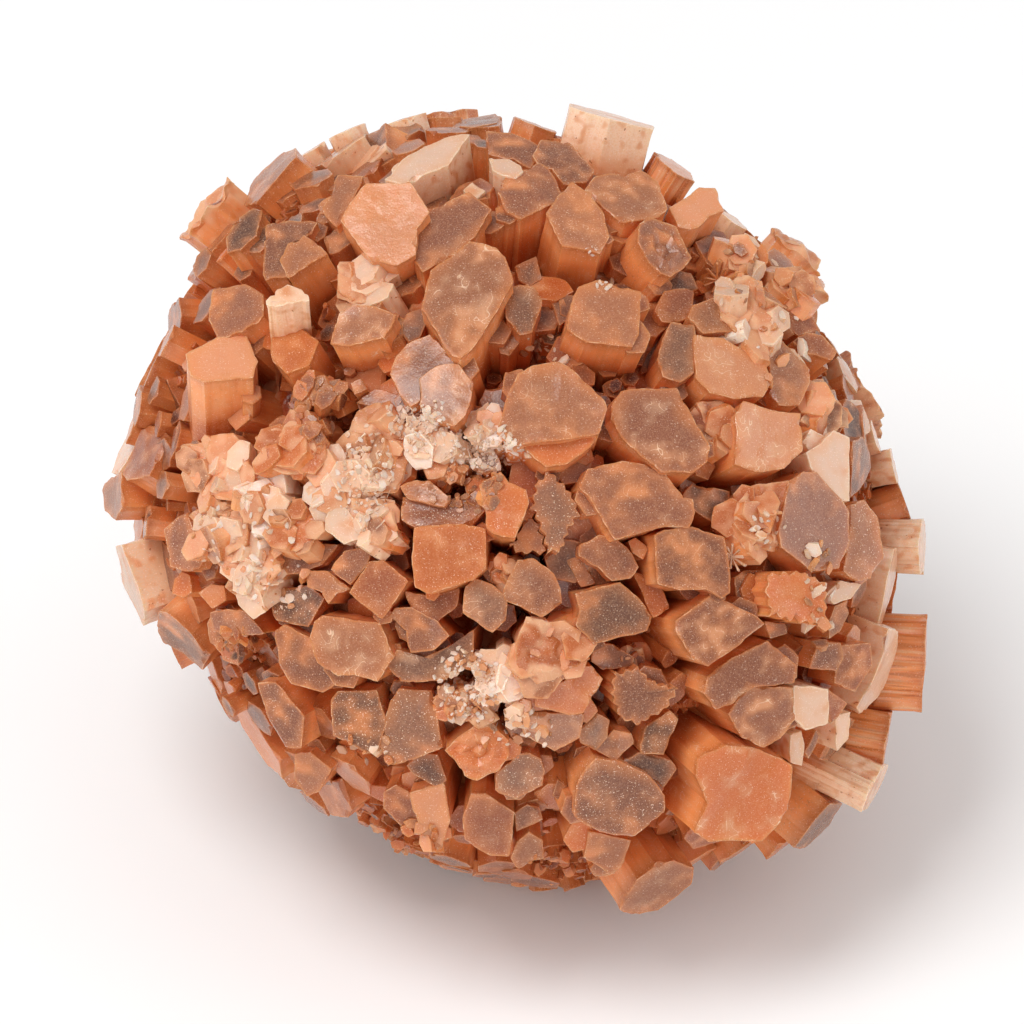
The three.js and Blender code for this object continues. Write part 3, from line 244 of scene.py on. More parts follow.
RIGHT = [
    ("tan", "", 3, (0, 0), [(0.3, 15.1), (2.0, 16.0), (4.9, 16.6), (5.9, 16.0), (9.8, 12.2),
        (10.2, 11.2), (9.3, 8.6), (6.5, 8.0), (1.5, 7.5), (-0.2, 7.2), (-1.9, 9.3), (-0.8, 12.8)]),
    ("orange", "", 2.2, (0, 0), [(3.0, 8.8), (7.0, 9.0), (9.6, 9.0), (8.3, 7.0), (5.8, 5.2), (3.4, 4.8),
        (1.0, 6.8)]),
    ("mauve", "cloud", 2, (0, 0), [(12.0, 13.1), (13.5, 13.5), (18.3, 13.5), (20.0, 10.2), (22.0, 7.0),
        (21.6, 5.4), (20.0, 4.2), (16.5, 4.3), (13.8, 6.5), (12.0, 8.2), (11.0, 10.2), (11.0, 11.5)]),
    ("grey", "", 0, (0, 0), [(17.7, 21.1), (20.1, 20.8), (20.4, 19.5), (20.1, 15.5), (18.6, 14.4),
        (16.8, 15.0), (16.2, 17.0), (16.8, 19.0)]),
    ("tan", "", 0.5, (0, 0), [(20.2, 23.0), (22.8, 23.9), (23.3, 21.5), (24.8, 20.3), (21.3, 19.9),
        (19.7, 21.7)]),
    ("brown", "", -1.5, (0, 0), [(16.0, 22.5), (17.0, 24.7), (20.2, 24.9), (20.0, 23.0), (19.7, 21.6),
        (17.7, 21.2), (16.6, 21.3)]),
    ("peach", "cloud", 1, (0, 0), [(20.4, 19.6), (23.5, 19.3), (26.8, 17.3), (28.2, 16.9), (29.0, 14.3),
        (28.0, 12.8), (25.0, 12.6), (22.0, 13.2), (20.5, 14.8)]),
    ("tan", "", 0.5, (0, 0), [(28.9, 17.6), (29.9, 19.4), (30.6, 18.5), (33.5, 15.8), (33.4, 14.2),
        (32.2, 11.8), (30.0, 11.8), (29.2, 13.2)]),
    ("peach", "rough", 2, (0, 0), [(23.4, 24.5), (25.5, 26.5), (28.0, 25.5), (30.2, 23.0), (30.5, 21.8),
        (29.4, 18.0), (27.3, 17.5), (25.0, 20.0), (23.4, 21.5)]),
    ("peach", "cloud", 2, (0, 0), [(25.2, 8.5), (25.0, 10.5), (26.0, 12.0), (30.0, 10.8), (32.3, 10.7),
        (32.6, 6.5), (30.5, 4.7), (27.5, 4.3), (25.1, 5.0)]),
    ("cream", "", 2, (0, 0), [(33.0, 6.2), (34.9, 7.3), (36.3, 8.8), (38.0, 8.0), (38.0, 1.0),
        (37.0, 1.0), (33.9, 4.1)]),
    ("brown", "", 1, (0, 0), [(31.8, 19.0), (33.2, 20.0), (35.0, 19.6), (36.6, 17.8), (36.1, 17.0),
        (33.5, 17.8)]),
    ("grey", "serrate specks", 0.5, (0, 0), [(3.7, 4.3), (5.8, 2.2), (7.0, 0.7), (7.2, -0.9),
        (6.0, -2.6), (5.2, -5.0), (3.5, -5.2), (2.7, -2.0), (1.6, 0.0), (2.3, 2.9)]),
    ("mauve", "serrate", -0.5, (0, 0), [(1.2, -0.9), (2.7, -1.8), (3.5, -5.2), (0.3, -5.2), (-0.9, -4.4),
        (0.2, -2.7)]),
    ("orange", "pale", 2.5, (0, 0), [(-4.0, 2.5), (-1.8, 3.9), (-1.0, 2.8), (1.0, 2.0), (1.3, 0.5),
        (-0.2, -3.2), (-1.6, -3.2), (-3.2, -2.3), (-3.3, 0.0)]),
    ("mauve", "", 1.5, (0, 0), [(8.2, 4.3), (12.0, 5.2), (16.2, 4.6), (18.9, 1.1), (19.9, 0.9),
        (20.2, -0.5), (19.5, -2.1), (17.0, -1.9), (11.3, -3.5), (8.2, 1.4), (7.3, 2.4)]),
    ("mauve", "", 0, (0, 0), [(7.4, -4.3), (9.5, -3.2), (10.8, -3.4), (12.6, -4.6), (13.8, -6.7),
        (13.0, -7.8), (11.0, -8.1), (9.5, -6.8), (7.2, -5.4)]),
    ("mauve", "", 2, (0, 0), [(15.8, -3.2), (16.8, -2.6), (20.0, -2.3), (23.6, -3.4), (24.2, -7.0),
        (24.3, -9.6), (23.5, -10.1), (21.5, -9.1), (18.5, -9.2), (16.2, -8.6)]),
    ("dark", "", 1, (0, 0), [(6.9, -9.8), (11.8, -8.5), (13.8, -10.3), (15.4, -12.4), (14.8, -13.8),
        (12.5, -14.4), (8.8, -15.3), (7.0, -13.2), (7.4, -11.8)]),
    ("mauve", "cloud", 2, (0, 0), [(18.2, -12.8), (22.3, -10.0), (26.5, -12.0), (28.2, -13.2),
        (26.0, -14.8), (24.5, -16.0), (21.8, -17.8), (20.3, -17.2), (18.5, -14.3)]),
    ("orange", "rough", 1.5, (0, 0), [(1.2, -12.4), (3.0, -12.8), (6.0, -14.0), (8.0, -16.2),
        (8.4, -17.2), (5.5, -18.6), (4.5, -19.7), (2.5, -19.9), (0.1, -17.8), (-0.1, -15.5)]),
    ("orange", "pale", 1, (0, 0), [(7.5, -18.1), (8.5, -18.1), (9.8, -19.5), (7.6, -23.2), (6.0, -23.4),
        (2.3, -22.5), (2.5, -20.8), (5.5, -19.8)]),
    ("mauve", "", 0.5, (0, 0), [(0.3, -6.0), (2.0, -5.9), (4.2, -7.5), (5.0, -9.5), (5.1, -10.7),
        (2.9, -12.3), (0.0, -10.8), (-1.3, -10.3), (-1.3, -9.3)]),
    ("grey", "specks", -2, (0, 0), [(5.4, -5.4), (6.9, -5.2), (8.9, -8.5), (7.4, -8.9), (6.3, -6.9)]),
    ("mauve", "serrate", 0.5, (0, 0), [(11.0, -18.7), (13.8, -18.0), (16.0, -20.0), (18.7, -20.5),
        (17.0, -23.0), (14.2, -24.8), (12.0, -24.0), (10.7, -21.5)]),
    ("mauve", "", -1.5, (0, 0), [(8.8, -15.3), (11.0, -15.6), (13.3, -17.0), (13.0, -18.0),
        (10.0, -18.3), (8.7, -17.4)]),
    ("mauve", "cloud", 1, (0, 0), [(21.5, -21.0), (21.9, -19.3), (24.5, -17.2), (28.7, -15.2),
        (31.9, -18.0), (31.6, -19.8), (27.0, -20.3), (24.5, -22.2), (22.8, -22.8)]),
    ("mauve", "cloud", 1, (0, 0), [(25.5, -21.5), (27.0, -20.4), (31.5, -20.6), (31.7, -24.0),
        (30.0, -26.2), (28.2, -27.2), (25.8, -26.0), (24.3, -23.5)]),
    ("mauve", "", 2, (0, 0), [(31.2, 2.9), (32.8, 4.0), (34.2, 3.9), (37.0, 0.9), (37.8, -0.3),
        (37.9, -3.8), (36.8, -6.8), (33.5, -7.0), (30.3, -4.4), (30.0, -2.5)]),
    ("orange", "rough", 1, (0, 0), [(25.0, 0.5), (27.0, 2.5), (30.8, 3.0), (30.2, -2.5),
        (30.0, -4.8), (26.0, -4.5), (24.8, -3.0)]),
    ("orange", "serrate", 3, (0, 0), [(28.7, -7.3), (32.5, -7.2), (35.3, -8.5), (35.4, -11.8),
        (35.2, -13.3), (33.0, -13.2), (28.8, -12.3), (28.4, -9.5)]),
    ("dark", "specks", -1, (0, 0), [(25.0, -8.0), (26.0, -7.3), (27.8, -7.2), (28.8, -10.5),
        (28.0, -12.0), (25.3, -10.6)]),
    ("tan", "specks", 1, (0, 0), [(38.0, 0.2), (39.7, 0.8), (41.3, -1.2), (42.0, -5.5), (40.5, -8.0),
        (39.0, -8.2), (37.4, -7.2), (38.0, -3.5)]),
    ("grey", "", 0, (0, 0), [(35.8, -14.8), (35.7, -13.0), (36.5, -11.3), (37.9, -10.6), (38.0, -12.0),
        (37.0, -14.0)]),
    ("cream", "", 0, (0, 0), [(35.5, -9.8), (37.0, -8.4), (39.3, -8.8), (38.2, -10.2), (36.2, -10.9)]),
    ("mauve", "specks", 0, (0, 0), [(34.6, -15.4), (37.0, -15.5), (37.3, -17.2), (36.6, -18.5),
        (33.5, -18.2)]),
    ("brown", "", 0, (0, 0), [(37.2, -15.8), (40.5, -15.5), (40.8, -18.0), (38.6, -20.8), (36.5, -19.9)]),
    ("cream", "", 1, (0, 0), [(31.7, -20.4), (33.8, -20.5), (35.5, -20.8), (35.6, -24.5), (33.0, -25.2),
        (31.8, -24.0)]),
    ("cream", "", 0.5, (0, 0), [(31.4, -26.0), (32.6, -25.5), (32.9, -27.0), (32.6, -29.4), (31.5, -29.0)]),
]
LOW = [
    ("orange", "", 2, (0, 0), [(-11.5, -2.3), (-6.5, -1.9), (-3.6, -2.5), (-3.5, -6.8),
        (-5.0, -8.1), (-9.9, -9.6), (-11.3, -8.9), (-11.7, -6.4)]),
    ("brown", "specks", 0, (0, 0), [(-12.8, 1.2), (-10.0, 0.4), (-7.6, 0.8), (-4.0, 1.8), (-3.6, -0.2),
        (-5.0, -1.8), (-11.0, -2.2), (-12.9, -1.3)]),
    ("tan", "", 1, (0, 0), [(-13.0, 2.4), (-11.5, 3.1), (-9.8, 3.0), (-7.6, 1.0), (-8.2, 0.2),
        (-12.3, 1.2)]),
    ("cream", "", 1, (0, 0), [(-21.6, -1.2), (-21.0, -0.2), (-19.5, 0.2), (-17.8, -2.6), (-17.0, -3.0),
        (-19.5, -4.0), (-21.6, -2.4)]),
    ("peach", "rough", 0.5, (0, 0), [(-18.5, 0.9), (-14.0, 0.8), (-13.3, -2.6), (-16.0, -4.1),
        (-17.2, -2.8), (-18.2, -1.4)]),
    ("grey", "pale", 1, (0, 0), [(-5.6, -9.0), (-4.6, -8.2), (-2.8, -8.8), (-1.1, -10.2), (-1.3, -12.7),
        (-2.7, -14.0), (-4.4, -12.9), (-6.0, -11.8)]),
    ("tan", "cloud", 2, (0, 0), [(-23.4, -15.0), (-22.8, -13.0), (-22.0, -12.4), (-15.5, -13.2),
        (-14.1, -16.9), (-15.7, -19.6), (-18.5, -18.8), (-20.2, -19.0), (-22.5, -17.6)]),
    ("tan", "pale", 0.5, (0, 0), [(-23.9, -7.2), (-21.5, -7.3), (-19.0, -9.2), (-20.5, -9.7),
        (-21.3, -10.8), (-22.1, -9.6), (-23.6, -8.9)]),
    ("mauve", "", 0, (0, 0), [(-21.0, -7.0), (-19.5, -5.0), (-16.5, -4.5), (-16.9, -6.3), (-18.8, -8.6)]),
    ("brown", "", 0.5, (0, 0), [(-18.8, -9.6), (-16.6, -6.2), (-15.0, -6.0), (-12.4, -8.4),
        (-15.3, -12.5)]),
    ("mauve", "terrace", 0.5, (0, 0), [(-14.3, -12.3), (-13.7, -11.5), (-12.0, -11.5), (-9.0, -13.0),
        (-7.7, -14.5), (-9.5, -16.1), (-12.0, -16.4), (-12.5, -13.9)]),
    ("brown", "", -1, (0, 0), [(-12.5, -9.6), (-9.9, -10.2), (-6.5, -9.2), (-6.8, -11.0), (-9.0, -12.9),
        (-11.8, -11.4)]),
    ("grey", "cloud", 0, (0, 0), [(-14.5, -18.0), (-13.5, -16.3), (-10.5, -17.2), (-7.0, -15.6),
        (-4.8, -14.0), (-5.2, -17.7), (-8.5, -19.5), (-13.0, -19.6)]),
    ("mauve", "", 1, (0, 0), [(-27.4, -14.1), (-26.3, -13.4), (-23.4, -15.0), (-21.0, -18.6),
        (-20.5, -19.9), (-22.0, -20.9), (-25.5, -19.9), (-26.9, -18.0)]),
    ("dark", "specks", -1, (0, 0), [(-28.0, -10.3), (-27.2, -9.3), (-23.6, -8.9), (-21.9, -10.3),
        (-23.7, -13.4), (-27.3, -12.7)]),
    ("mauve", "", -1, (0, 0), [(-27.0, -5.5), (-22.6, -4.3), (-20.4, -4.3), (-22.2, -6.3), (-24.4, -7.2),
        (-26.0, -7.5)]),
    ("orange", "pale rough", 1, (0, 0), [(-27.3, -2.8), (-26.6, -1.0), (-24.8, 0.9), (-23.6, 0.3),
        (-22.2, -2.8), (-24.8, -4.9), (-26.3, -4.8)]),
    ("mauve", "", 1, (0, 0), [(-29.3, -20.0), (-27.5, -19.9), (-24.2, -23.8), (-24.7, -27.3),
        (-26.5, -27.3), (-28.2, -24.2)]),
    ("dark", "specks", 1.5, (0, 0), [(-21.0, -22.0), (-20.2, -21.0), (-16.0, -20.8), (-14.9, -24.5),
        (-15.7, -27.5), (-17.0, -27.7), (-20.8, -25.8)]),
    ("grey", "specks", 0.5, (0, 0), [(-14.2, -22.0), (-13.2, -20.7), (-9.8, -20.9), (-9.0, -24.0),
        (-8.5, -27.3), (-12.0, -28.6), (-14.5, -29.2), (-15.4, -27.0), (-14.8, -24.2)]),
    ("orange", "ring", 1.5, (0, 0), [(-8.0, -27.6), (-6.5, -26.3), (-4.5, -24.8), (-2.5, -24.9),
        (-1.0, -26.5), (-0.8, -28.0), (-2.0, -29.8), (-4.5, -30.9), (-5.8, -30.4), (-6.6, -29.0)]),
    ("grey", "specks", 0, (0, 0), [(0.2, -28.2), (1.5, -28.0), (2.7, -28.6), (3.2, -30.0), (2.9, -31.5),
        (0.0, -33.0), (-2.2, -32.1), (-2.1, -30.4)]),
    ("dark", "specks", -1, (0, 0), [(-12.3, -29.4), (-11.0, -28.0), (-9.0, -28.2), (-8.0, -31.0),
        (-9.0, -31.8), (-11.7, -30.3)]),
    ("brown", "", 1, (0, 0), [(-5.0, -32.7), (-3.4, -32.6), (-0.3, -34.8), (-0.9, -39.6), (-2.8, -39.5),
        (-5.8, -37.9), (-6.0, -35.5)]),
    ("peach", "cloud", 1, (0, 0), [(-12.0, -32.5), (-8.3, -31.5), (-7.6, -35.5), (-8.7, -38.8),
        (-10.0, -38.2), (-11.8, -34.0)]),
    ("brown", "", 0, (0, 0), [(-15.0, -32.5), (-13.7, -31.7), (-12.1, -32.7), (-10.8, -36.8),
        (-12.0, -37.2), (-15.0, -34.3)]),
    ("tan", "", 0, (0, 0), [(-25.2, -28.2), (-23.5, -28.0), (-21.2, -29.8), (-22.6, -32.3),
        (-24.0, -32.9), (-25.2, -31.0)]),
    ("tan", "pale", 1, (0, 0), [(0.6, -24.3), (2.0, -23.4), (7.6, -23.5), (7.1, -26.0), (4.4, -27.5),
        (0.9, -25.6)]),
    ("grey", "pale", 0, (0, 0), [(7.2, -25.3), (9.3, -23.5), (10.5, -24.2), (10.3, -26.0), (9.0, -27.6),
        (7.4, -26.6)]),
    ("mauve", "", 0, (0, 0), [(9.2, -27.5), (11.2, -25.3), (13.0, -25.8), (13.3, -26.8), (11.2, -28.7)]),
    ("dark", "specks", 0, (0, 0), [(14.2, -27.0), (15.0, -25.0), (17.5, -23.2), (18.3, -24.0),
        (16.8, -28.0), (14.3, -27.8)]),
    ("dark", "", -0.5, (0, 0), [(12.2, -29.0), (14.0, -28.0), (17.6, -28.8), (18.2, -29.8), (16.8, -31.8)]),
    ("mauve", "specks", 2, (0, 0), [(7.8, -30.0), (9.0, -28.6), (11.9, -29.0), (15.2, -30.7),
        (16.8, -32.8), (16.8, -34.5), (13.3, -37.5), (9.8, -37.0), (6.7, -35.1), (7.0, -31.5)]),
    ("mauve", "", -1, (0, 0), [(4.3, -32.8), (4.8, -31.0), (5.8, -32.0), (6.5, -34.5)]),
    ("orange", "cloud terrace", 3, (0, 0), [(20.6, -30.5), (20.8, -28.6), (23.6, -26.9), (26.2, -27.2),
        (31.2, -29.3), (31.1, -34.5), (28.0, -37.7), (22.2, -38.1), (20.6, -37.0), (21.8, -33.5)]),
    ("tan", "", 0, (0, 0), [(7.9, -39.8), (8.4, -37.0), (10.0, -37.4), (13.0, -38.1), (11.9, -41.0),
        (10.7, -41.6)]),
    ("tan", "", 0.5, (0, 0), [(-0.5, -40.0), (0.1, -38.3), (1.5, -37.0), (3.0, -38.0), (3.0, -40.0),
        (0.3, -41.2)]),
    ("mauve", "", -1, (0, 0), [(-0.1, -34.8), (1.3, -33.9), (2.6, -34.3), (3.0, -35.5), (0.1, -36.8)]),
    ("orange", "", -0.5, (0, 0), [(5.5, -38.0), (6.5, -36.0), (8.0, -35.9), (8.9, -37.0), (8.3, -38.8),
        (6.5, -39.2)]),
]
LEFT = [
    ("tan", "cloud", 2, (0, 0), [(-18.5, 23.0), (-16.0, 22.9), (-13.7, 21.9), (-14.2, 20.5),
        (-15.0, 19.5), (-19.0, 18.6), (-21.0, 18.8), (-20.5, 20.5), (-20.0, 22.1)]),
    ("mauve", "", 1, (0, 0), [(-9.9, 19.6), (-6.5, 16.2), (-8.0, 14.8), (-10.8, 14.6), (-11.0, 12.3),
        (-12.0, 11.6), (-13.0, 12.9), (-14.2, 15.2), (-13.4, 17.2), (-12.4, 18.6)]),
    ("tan", "cloud", 1.6, (0, 0), [(-6.5, 16.2), (-5.0, 14.2), (-5.2, 12.7), (-5.8, 10.6), (-7.0, 9.3),
        (-9.5, 10.3), (-10.7, 11.5), (-10.9, 14.6), (-9.0, 16.0)]),
    ("grey", "", -1.5, (0, 0), [(-13.4, 20.9), (-12.4, 22.0), (-10.9, 22.6), (-10.1, 21.5),
        (-11.0, 19.4), (-12.2, 18.9)]),
    ("mauve", "", -2, (0, 0), [(-18.0, 12.0), (-16.0, 13.5), (-13.0, 12.7), (-12.4, 11.4), (-13.5, 11.0)]),
    ("tan", "", 1, (0, 0), [(-26.7, 28.3), (-25.9, 30.1), (-24.2, 31.1), (-23.0, 30.3), (-21.6, 29.0),
        (-24.9, 27.1), (-26.0, 26.3)]),
    ("mauve", "", 0, (0, 0), [(-28.5, 32.3), (-26.0, 32.8), (-22.8, 32.6), (-24.0, 31.0), (-26.0, 30.2),
        (-26.7, 28.3), (-26.2, 26.3), (-28.6, 26.3)]),
    ("tan", "", -0.5, (0, 0), [(-22.0, 34.2), (-21.3, 35.3), (-20.3, 38.0), (-17.6, 37.8), (-19.0, 34.2),
        (-20.5, 32.2), (-21.5, 33.2)]),
    ("grey", "", -2, (0, 0), [(-22.0, 31.0), (-20.3, 31.9), (-19.0, 31.4), (-18.7, 30.4), (-20.2, 29.3),
        (-21.2, 29.0)]),
    ("peach", "rough", -1, (0, 0), [(-20.2, 24.8), (-20.0, 28.0), (-17.5, 27.4), (-15.2, 26.5),
        (-13.6, 24.2), (-15.2, 23.1), (-17.5, 22.9), (-20.2, 23.8)]),
    ("dark", "", 1, (0, 0), [(-33.0, 31.0), (-31.5, 33.2), (-30.0, 34.1), (-29.1, 34.0), (-29.7, 31.2),
        (-31.5, 29.5), (-32.9, 29.3)]),
    ("mauve", "", 1, (0, 0), [(-34.5, 24.8), (-31.0, 25.5), (-28.9, 24.3), (-28.9, 22.0), (-31.3, 20.2),
        (-33.8, 19.4), (-35.0, 21.5)]),
    ("cream", "stripe", 5, (20, 6), [(-28.3, 23.5), (-26.8, 25.0), (-26.0, 25.3), (-24.0, 24.6),
        (-23.6, 23.6), (-25.0, 23.2), (-28.2, 22.9)]),
    ("peach", "", 3, (30, 14), [(-37.5, 17.5), (-34.0, 19.3), (-30.8, 19.7), (-29.6, 16.6),
        (-29.9, 14.8), (-31.5, 14.9), (-35.5, 14.4), (-37.0, 15.2)]),
    ("orange", "rough", 1, (0, 0), [(-29.5, 8.0), (-27.5, 9.0), (-25.0, 9.2), (-23.2, 8.7),
        (-22.6, 6.5), (-24.3, 4.2), (-26.0, 3.9), (-28.5, 4.8)]),
    ("mauve", "specks", 0, (0, 0), [(-40.2, -2.4), (-37.7, -0.6), (-36.8, -2.8), (-35.6, -5.5),
        (-36.1, -6.8), (-38.0, -7.1), (-39.5, -6.5)]),
    ("mauve", "", 0, (0, 0), [(-34.9, -12.1), (-33.0, -11.6), (-30.9, -11.9), (-28.9, -14.2),
        (-31.0, -14.5), (-34.5, -13.9)]),
    ("orange", "", -1, (0, 0), [(-36.1, -9.7), (-34.8, -8.8), (-33.4, -9.0), (-33.2, -10.5),
        (-34.7, -11.4)]),
    ("orange", "", -1, (0, 0), [(-38.9, -8.2), (-38.2, -7.3), (-37.2, -7.8), (-37.0, -9.6),
        (-37.9, -10.2), (-39.2, -9.8)]),
    ("orange", "", -0.5, (0, 10), [(-27.6, 20.3), (-25.2, 21.0), (-22.6, 18.9), (-23.6, 16.2),
        (-26.0, 15.4), (-27.8, 17.0)]),
    ("tan", "", -0.5, (0, 0), [(-25.5, 13.4), (-23.5, 14.8), (-21.8, 15.0), (-20.4, 13.0), (-22.4, 11.8),
        (-24.6, 12.0)]),
    ("cream", "", -1, (0, 0), [(-21.6, 7.0), (-20.0, 7.4), (-18.6, 6.4), (-19.0, 5.2), (-21.2, 5.6)]),
]
CRUSTED = [
    ("peach", "rough", -0.5, (0, 0), [(-19.5, 8.0), (-18.0, 11.4), (-15.5, 11.8), (-13.0, 10.6),
        (-12.0, 8.0), (-12.6, 4.5), (-13.8, 2.0), (-16.5, 1.6), (-18.5, 4.0)]),
    ("cream", "rough", 0, (0, 0), [(-12.3, 10.2), (-9.5, 10.0), (-7.2, 8.6), (-8.0, 7.0), (-10.0, 5.5),
        (-12.0, 5.6)]),
    ("cream", "rough", 0, (0, 0), [(-5.2, 10.8), (-3.2, 12.0), (-1.9, 10.0), (-1.2, 8.0), (-3.2, 7.2),
        (-4.8, 8.4)]),
    ("grey", "rough", -1, (0, 0), [(-8.4, 4.6), (-7.0, 5.4), (-5.8, 4.8), (-6.2, 3.4), (-7.8, 3.2)]),
    ("grey", "", -1, (0, 0), [(-5.2, 5.0), (-4.0, 6.6), (-2.4, 6.4), (-1.8, 4.8), (-3.4, 3.9)]),
    ("peach", "rough", 1, (0, 0), [(-38.3, 7.1), (-35.8, 7.7), (-33.0, 5.4), (-30.3, 5.4), (-29.6, 3.4),
        (-31.5, 0.8), (-36.0, 1.4), (-36.9, 3.2), (-38.0, 4.8)]),
    ("peach", "rough", 2, (0, 0), [(-37.3, -0.9), (-36.2, 0.2), (-33.0, 0.6), (-30.4, -0.6),
        (-30.6, -4.2), (-33.2, -5.4), (-35.2, -4.9), (-35.8, -3.0)]),
    ("peach", "rough", 2, (0, 0), [(-35.0, -5.2), (-30.5, -4.2), (-27.2, -5.4), (-26.8, -7.0),
        (-28.9, -9.2), (-30.4, -9.7), (-32.0, -8.2), (-33.6, -7.2)]),
    ("cream", "rough", 1, (0, 0), [(-31.5, 1.2), (-30.4, 3.2), (-28.0, 2.6), (-26.2, 1.0), (-27.4, -1.2),
        (-30.0, -1.4)]),
    ("cream", "rough", 0, (0, 0), [(-23.8, 2.0), (-22.2, 4.4), (-20.2, 5.0), (-18.0, 3.6), (-19.2, 0.6),
        (-21.8, -0.4), (-23.2, 0.2)]),
    ("cream", "rough", 0, (0, 0), [(-5.0, -18.4), (-3.2, -16.6), (-0.4, -16.4), (0.4, -18.8),
        (1.2, -20.4), (-1.4, -21.8), (-3.8, -20.6)]),
    ("cream", "rough", 0.5, (0, 0), [(-1.4, -23.4), (0.2, -22.2), (1.8, -22.6), (1.9, -24.6),
        (0.2, -24.8)]),
    ("peach", "rough", 0, (0, 0), [(-6.4, -20.6), (-5.0, -20.2), (-3.6, -21.8), (-2.0, -24.0),
        (-4.2, -25.0), (-6.2, -23.0)]),
    ("orange", "rough", 1, (0, 0), [(-9.4, -21.6), (-7.2, -20.8), (-6.4, -22.4), (-7.4, -24.0)]),
    ("grey", "", -1, (0, 0), [(-21.8, 14.4), (-20.0, 14.6), (-19.6, 13.2), (-20.8, 12.6)]),
    ("tan", "", -1, (0, 0), [(-18.8, 14.2), (-17.6, 14.8), (-17.0, 13.6), (-18.4, 13.0)]),
    ("peach", "rough", -1, (0, 0), [(24.0, 29.8), (26.6, 30.2), (28.6, 28.4), (27.0, 26.8), (24.6, 27.6)]),
    ("tan", "rough", 1, (0, 0), [(29.6, 26.8), (32.0, 27.0), (33.2, 24.6), (31.0, 23.0), (29.8, 24.6)]),
    ("brown", "", -1, (0, 0), [(30.6, 22.6), (33.4, 22.8), (34.6, 20.6), (32.2, 19.8), (30.8, 20.8)]),
    ("cream", "", 1, (0, 0), [(30.6, 18.3), (31.8, 18.1), (33.0, 16.4), (31.8, 16.8)]),
    ("grey", "rough", 0, (0, 0), [(32.6, 10.0), (34.2, 13.0), (36.4, 13.4), (38.0, 11.0), (38.0, 9.2),
        (35.0, 9.6), (34.0, 8.8)]),
    ("brown", "rough", -1, (0, 0), [(20.4, 11.8), (23.4, 12.2), (24.8, 9.4), (24.6, 6.6),
        (22.6, 7.4), (21.6, 9.6)]),
    ("dark", "", -1.5, (0, 0), [(19.0, 1.4), (20.0, 2.6), (24.2, 1.8), (24.2, -0.6), (22.6, -1.6),
        (20.8, -0.6)]),
    ("orange", "rough", -0.5, (0, 0), [(-3.0, -7.6), (-1.0, -6.0), (0.2, -6.4), (-0.8, -8.6),
        (-2.4, -8.6)]),
    ("orange", "", -1.5, (0, 0), [(13.4, -7.4), (15.4, -7.8), (16.8, -9.6), (17.4, -11.4), (15.6, -12.4),
        (14.6, -10.0)]),
    ("orange", "", -0.5, (0, 0), [(12.8, -3.8), (13.6, -3.4), (15.0, -4.6), (14.4, -5.8), (13.2, -5.0)]),
    ("grey", "", 0, (0, 0), [(28.4, -13.0), (30.6, -13.2), (30.8, -14.2), (29.0, -14.8)]),
    ("brown", "", 0, (0, 0), [(35.6, -20.8), (37.8, -22.4), (36.2, -24.6), (35.4, -22.4)]),
    ("cream", "", 0, (0, 0), [(36.6, -23.8), (38.2, -23.4), (38.0, -26.4), (36.8, -27.8)]),
    ("grey", "", 0, (0, 0), [(33.0, -27.8), (34.2, -25.4), (34.6, -26.0), (33.4, -28.6)]),
]

SHALLOWEST = 0.2


def dome_depth(u, v):
    """Height of the round outline over the face: the depth radius times the root of what is
    left of one after the squares of the two shares along and across, never below a fifth."""
    along = (v - u) * DIAGONAL / LONG_RADIUS
    across = (v + u) * DIAGONAL / SHORT_RADIUS
    return DEPTH_RADIUS * np.sqrt(np.maximum(SHALLOWEST ** 2, 1 - along ** 2 - across ** 2))


def unit(vector):
    """The vector over its own length."""
    return vector / np.linalg.norm(vector)


def across_axis(axis):
    """Two directions square to the axis and to each other: x, or y for an axis close to x,
    without its part along the axis, and the cross product of the axis and that."""
    helper = np.array([1.0, 0, 0]) if abs(axis[0]) < 0.8 else np.array([0, 1.0, 0])
    first = unit(helper - axis * (helper @ axis))
    return first, np.cross(axis, first)


RIB_WIDTH = 0.9
TOOTH_WIDTH = 1.5


def carved(corners, seed, ridge, teeth, step, wobble):
    """The outline of a crystal in short steps, and the way inward at each point. It stands
    back by an amount that stays the same for the width of a rib, and where there are teeth,
    by a wave that rises and falls in straight lines. All points wobble, and stand out by
    three times that."""
    sides = np.roll(corners, -1, axis=0) - corners
    least = 2 if step < 1 else 1
    counts = np.maximum(least, np.ceil(np.hypot(*sides.T) / step)).astype(int)
    index = np.repeat(np.arange(len(corners)), counts)
    start = np.repeat(np.cumsum(counts) - counts, counts)
    share = (np.arange(counts.sum()) - start) / counts[index]
    points = corners[index] + sides[index] * share[:, None]
    points = points + wobble * np.column_stack(
        [lumps(points, 1.2, seed), lumps(points, 1.2, seed + 1)])
    ahead = np.roll(points, -1, axis=0) - np.roll(points, 1, axis=0)
    inward = np.stack([-ahead[:, 1], ahead[:, 0]], axis=1) / np.hypot(*ahead.T)[:, None]
    around = np.arange(len(points)) * step
    rib = np.floor(around / RIB_WIDTH + 0.7 * lumps(around[:, None], 1.7, seed))
    wave = np.abs((around / TOOTH_WIDTH + scatter(seed, 3)) % 1.0 - 0.5) * 2
    tall = 0.5 + 0.5 * scatter(np.floor(around / TOOTH_WIDTH), seed)
    back = ridge * scatter(rib, seed) + teeth * wave * tall
    return points + inward * (back[:, None] - 3 * wobble), inward


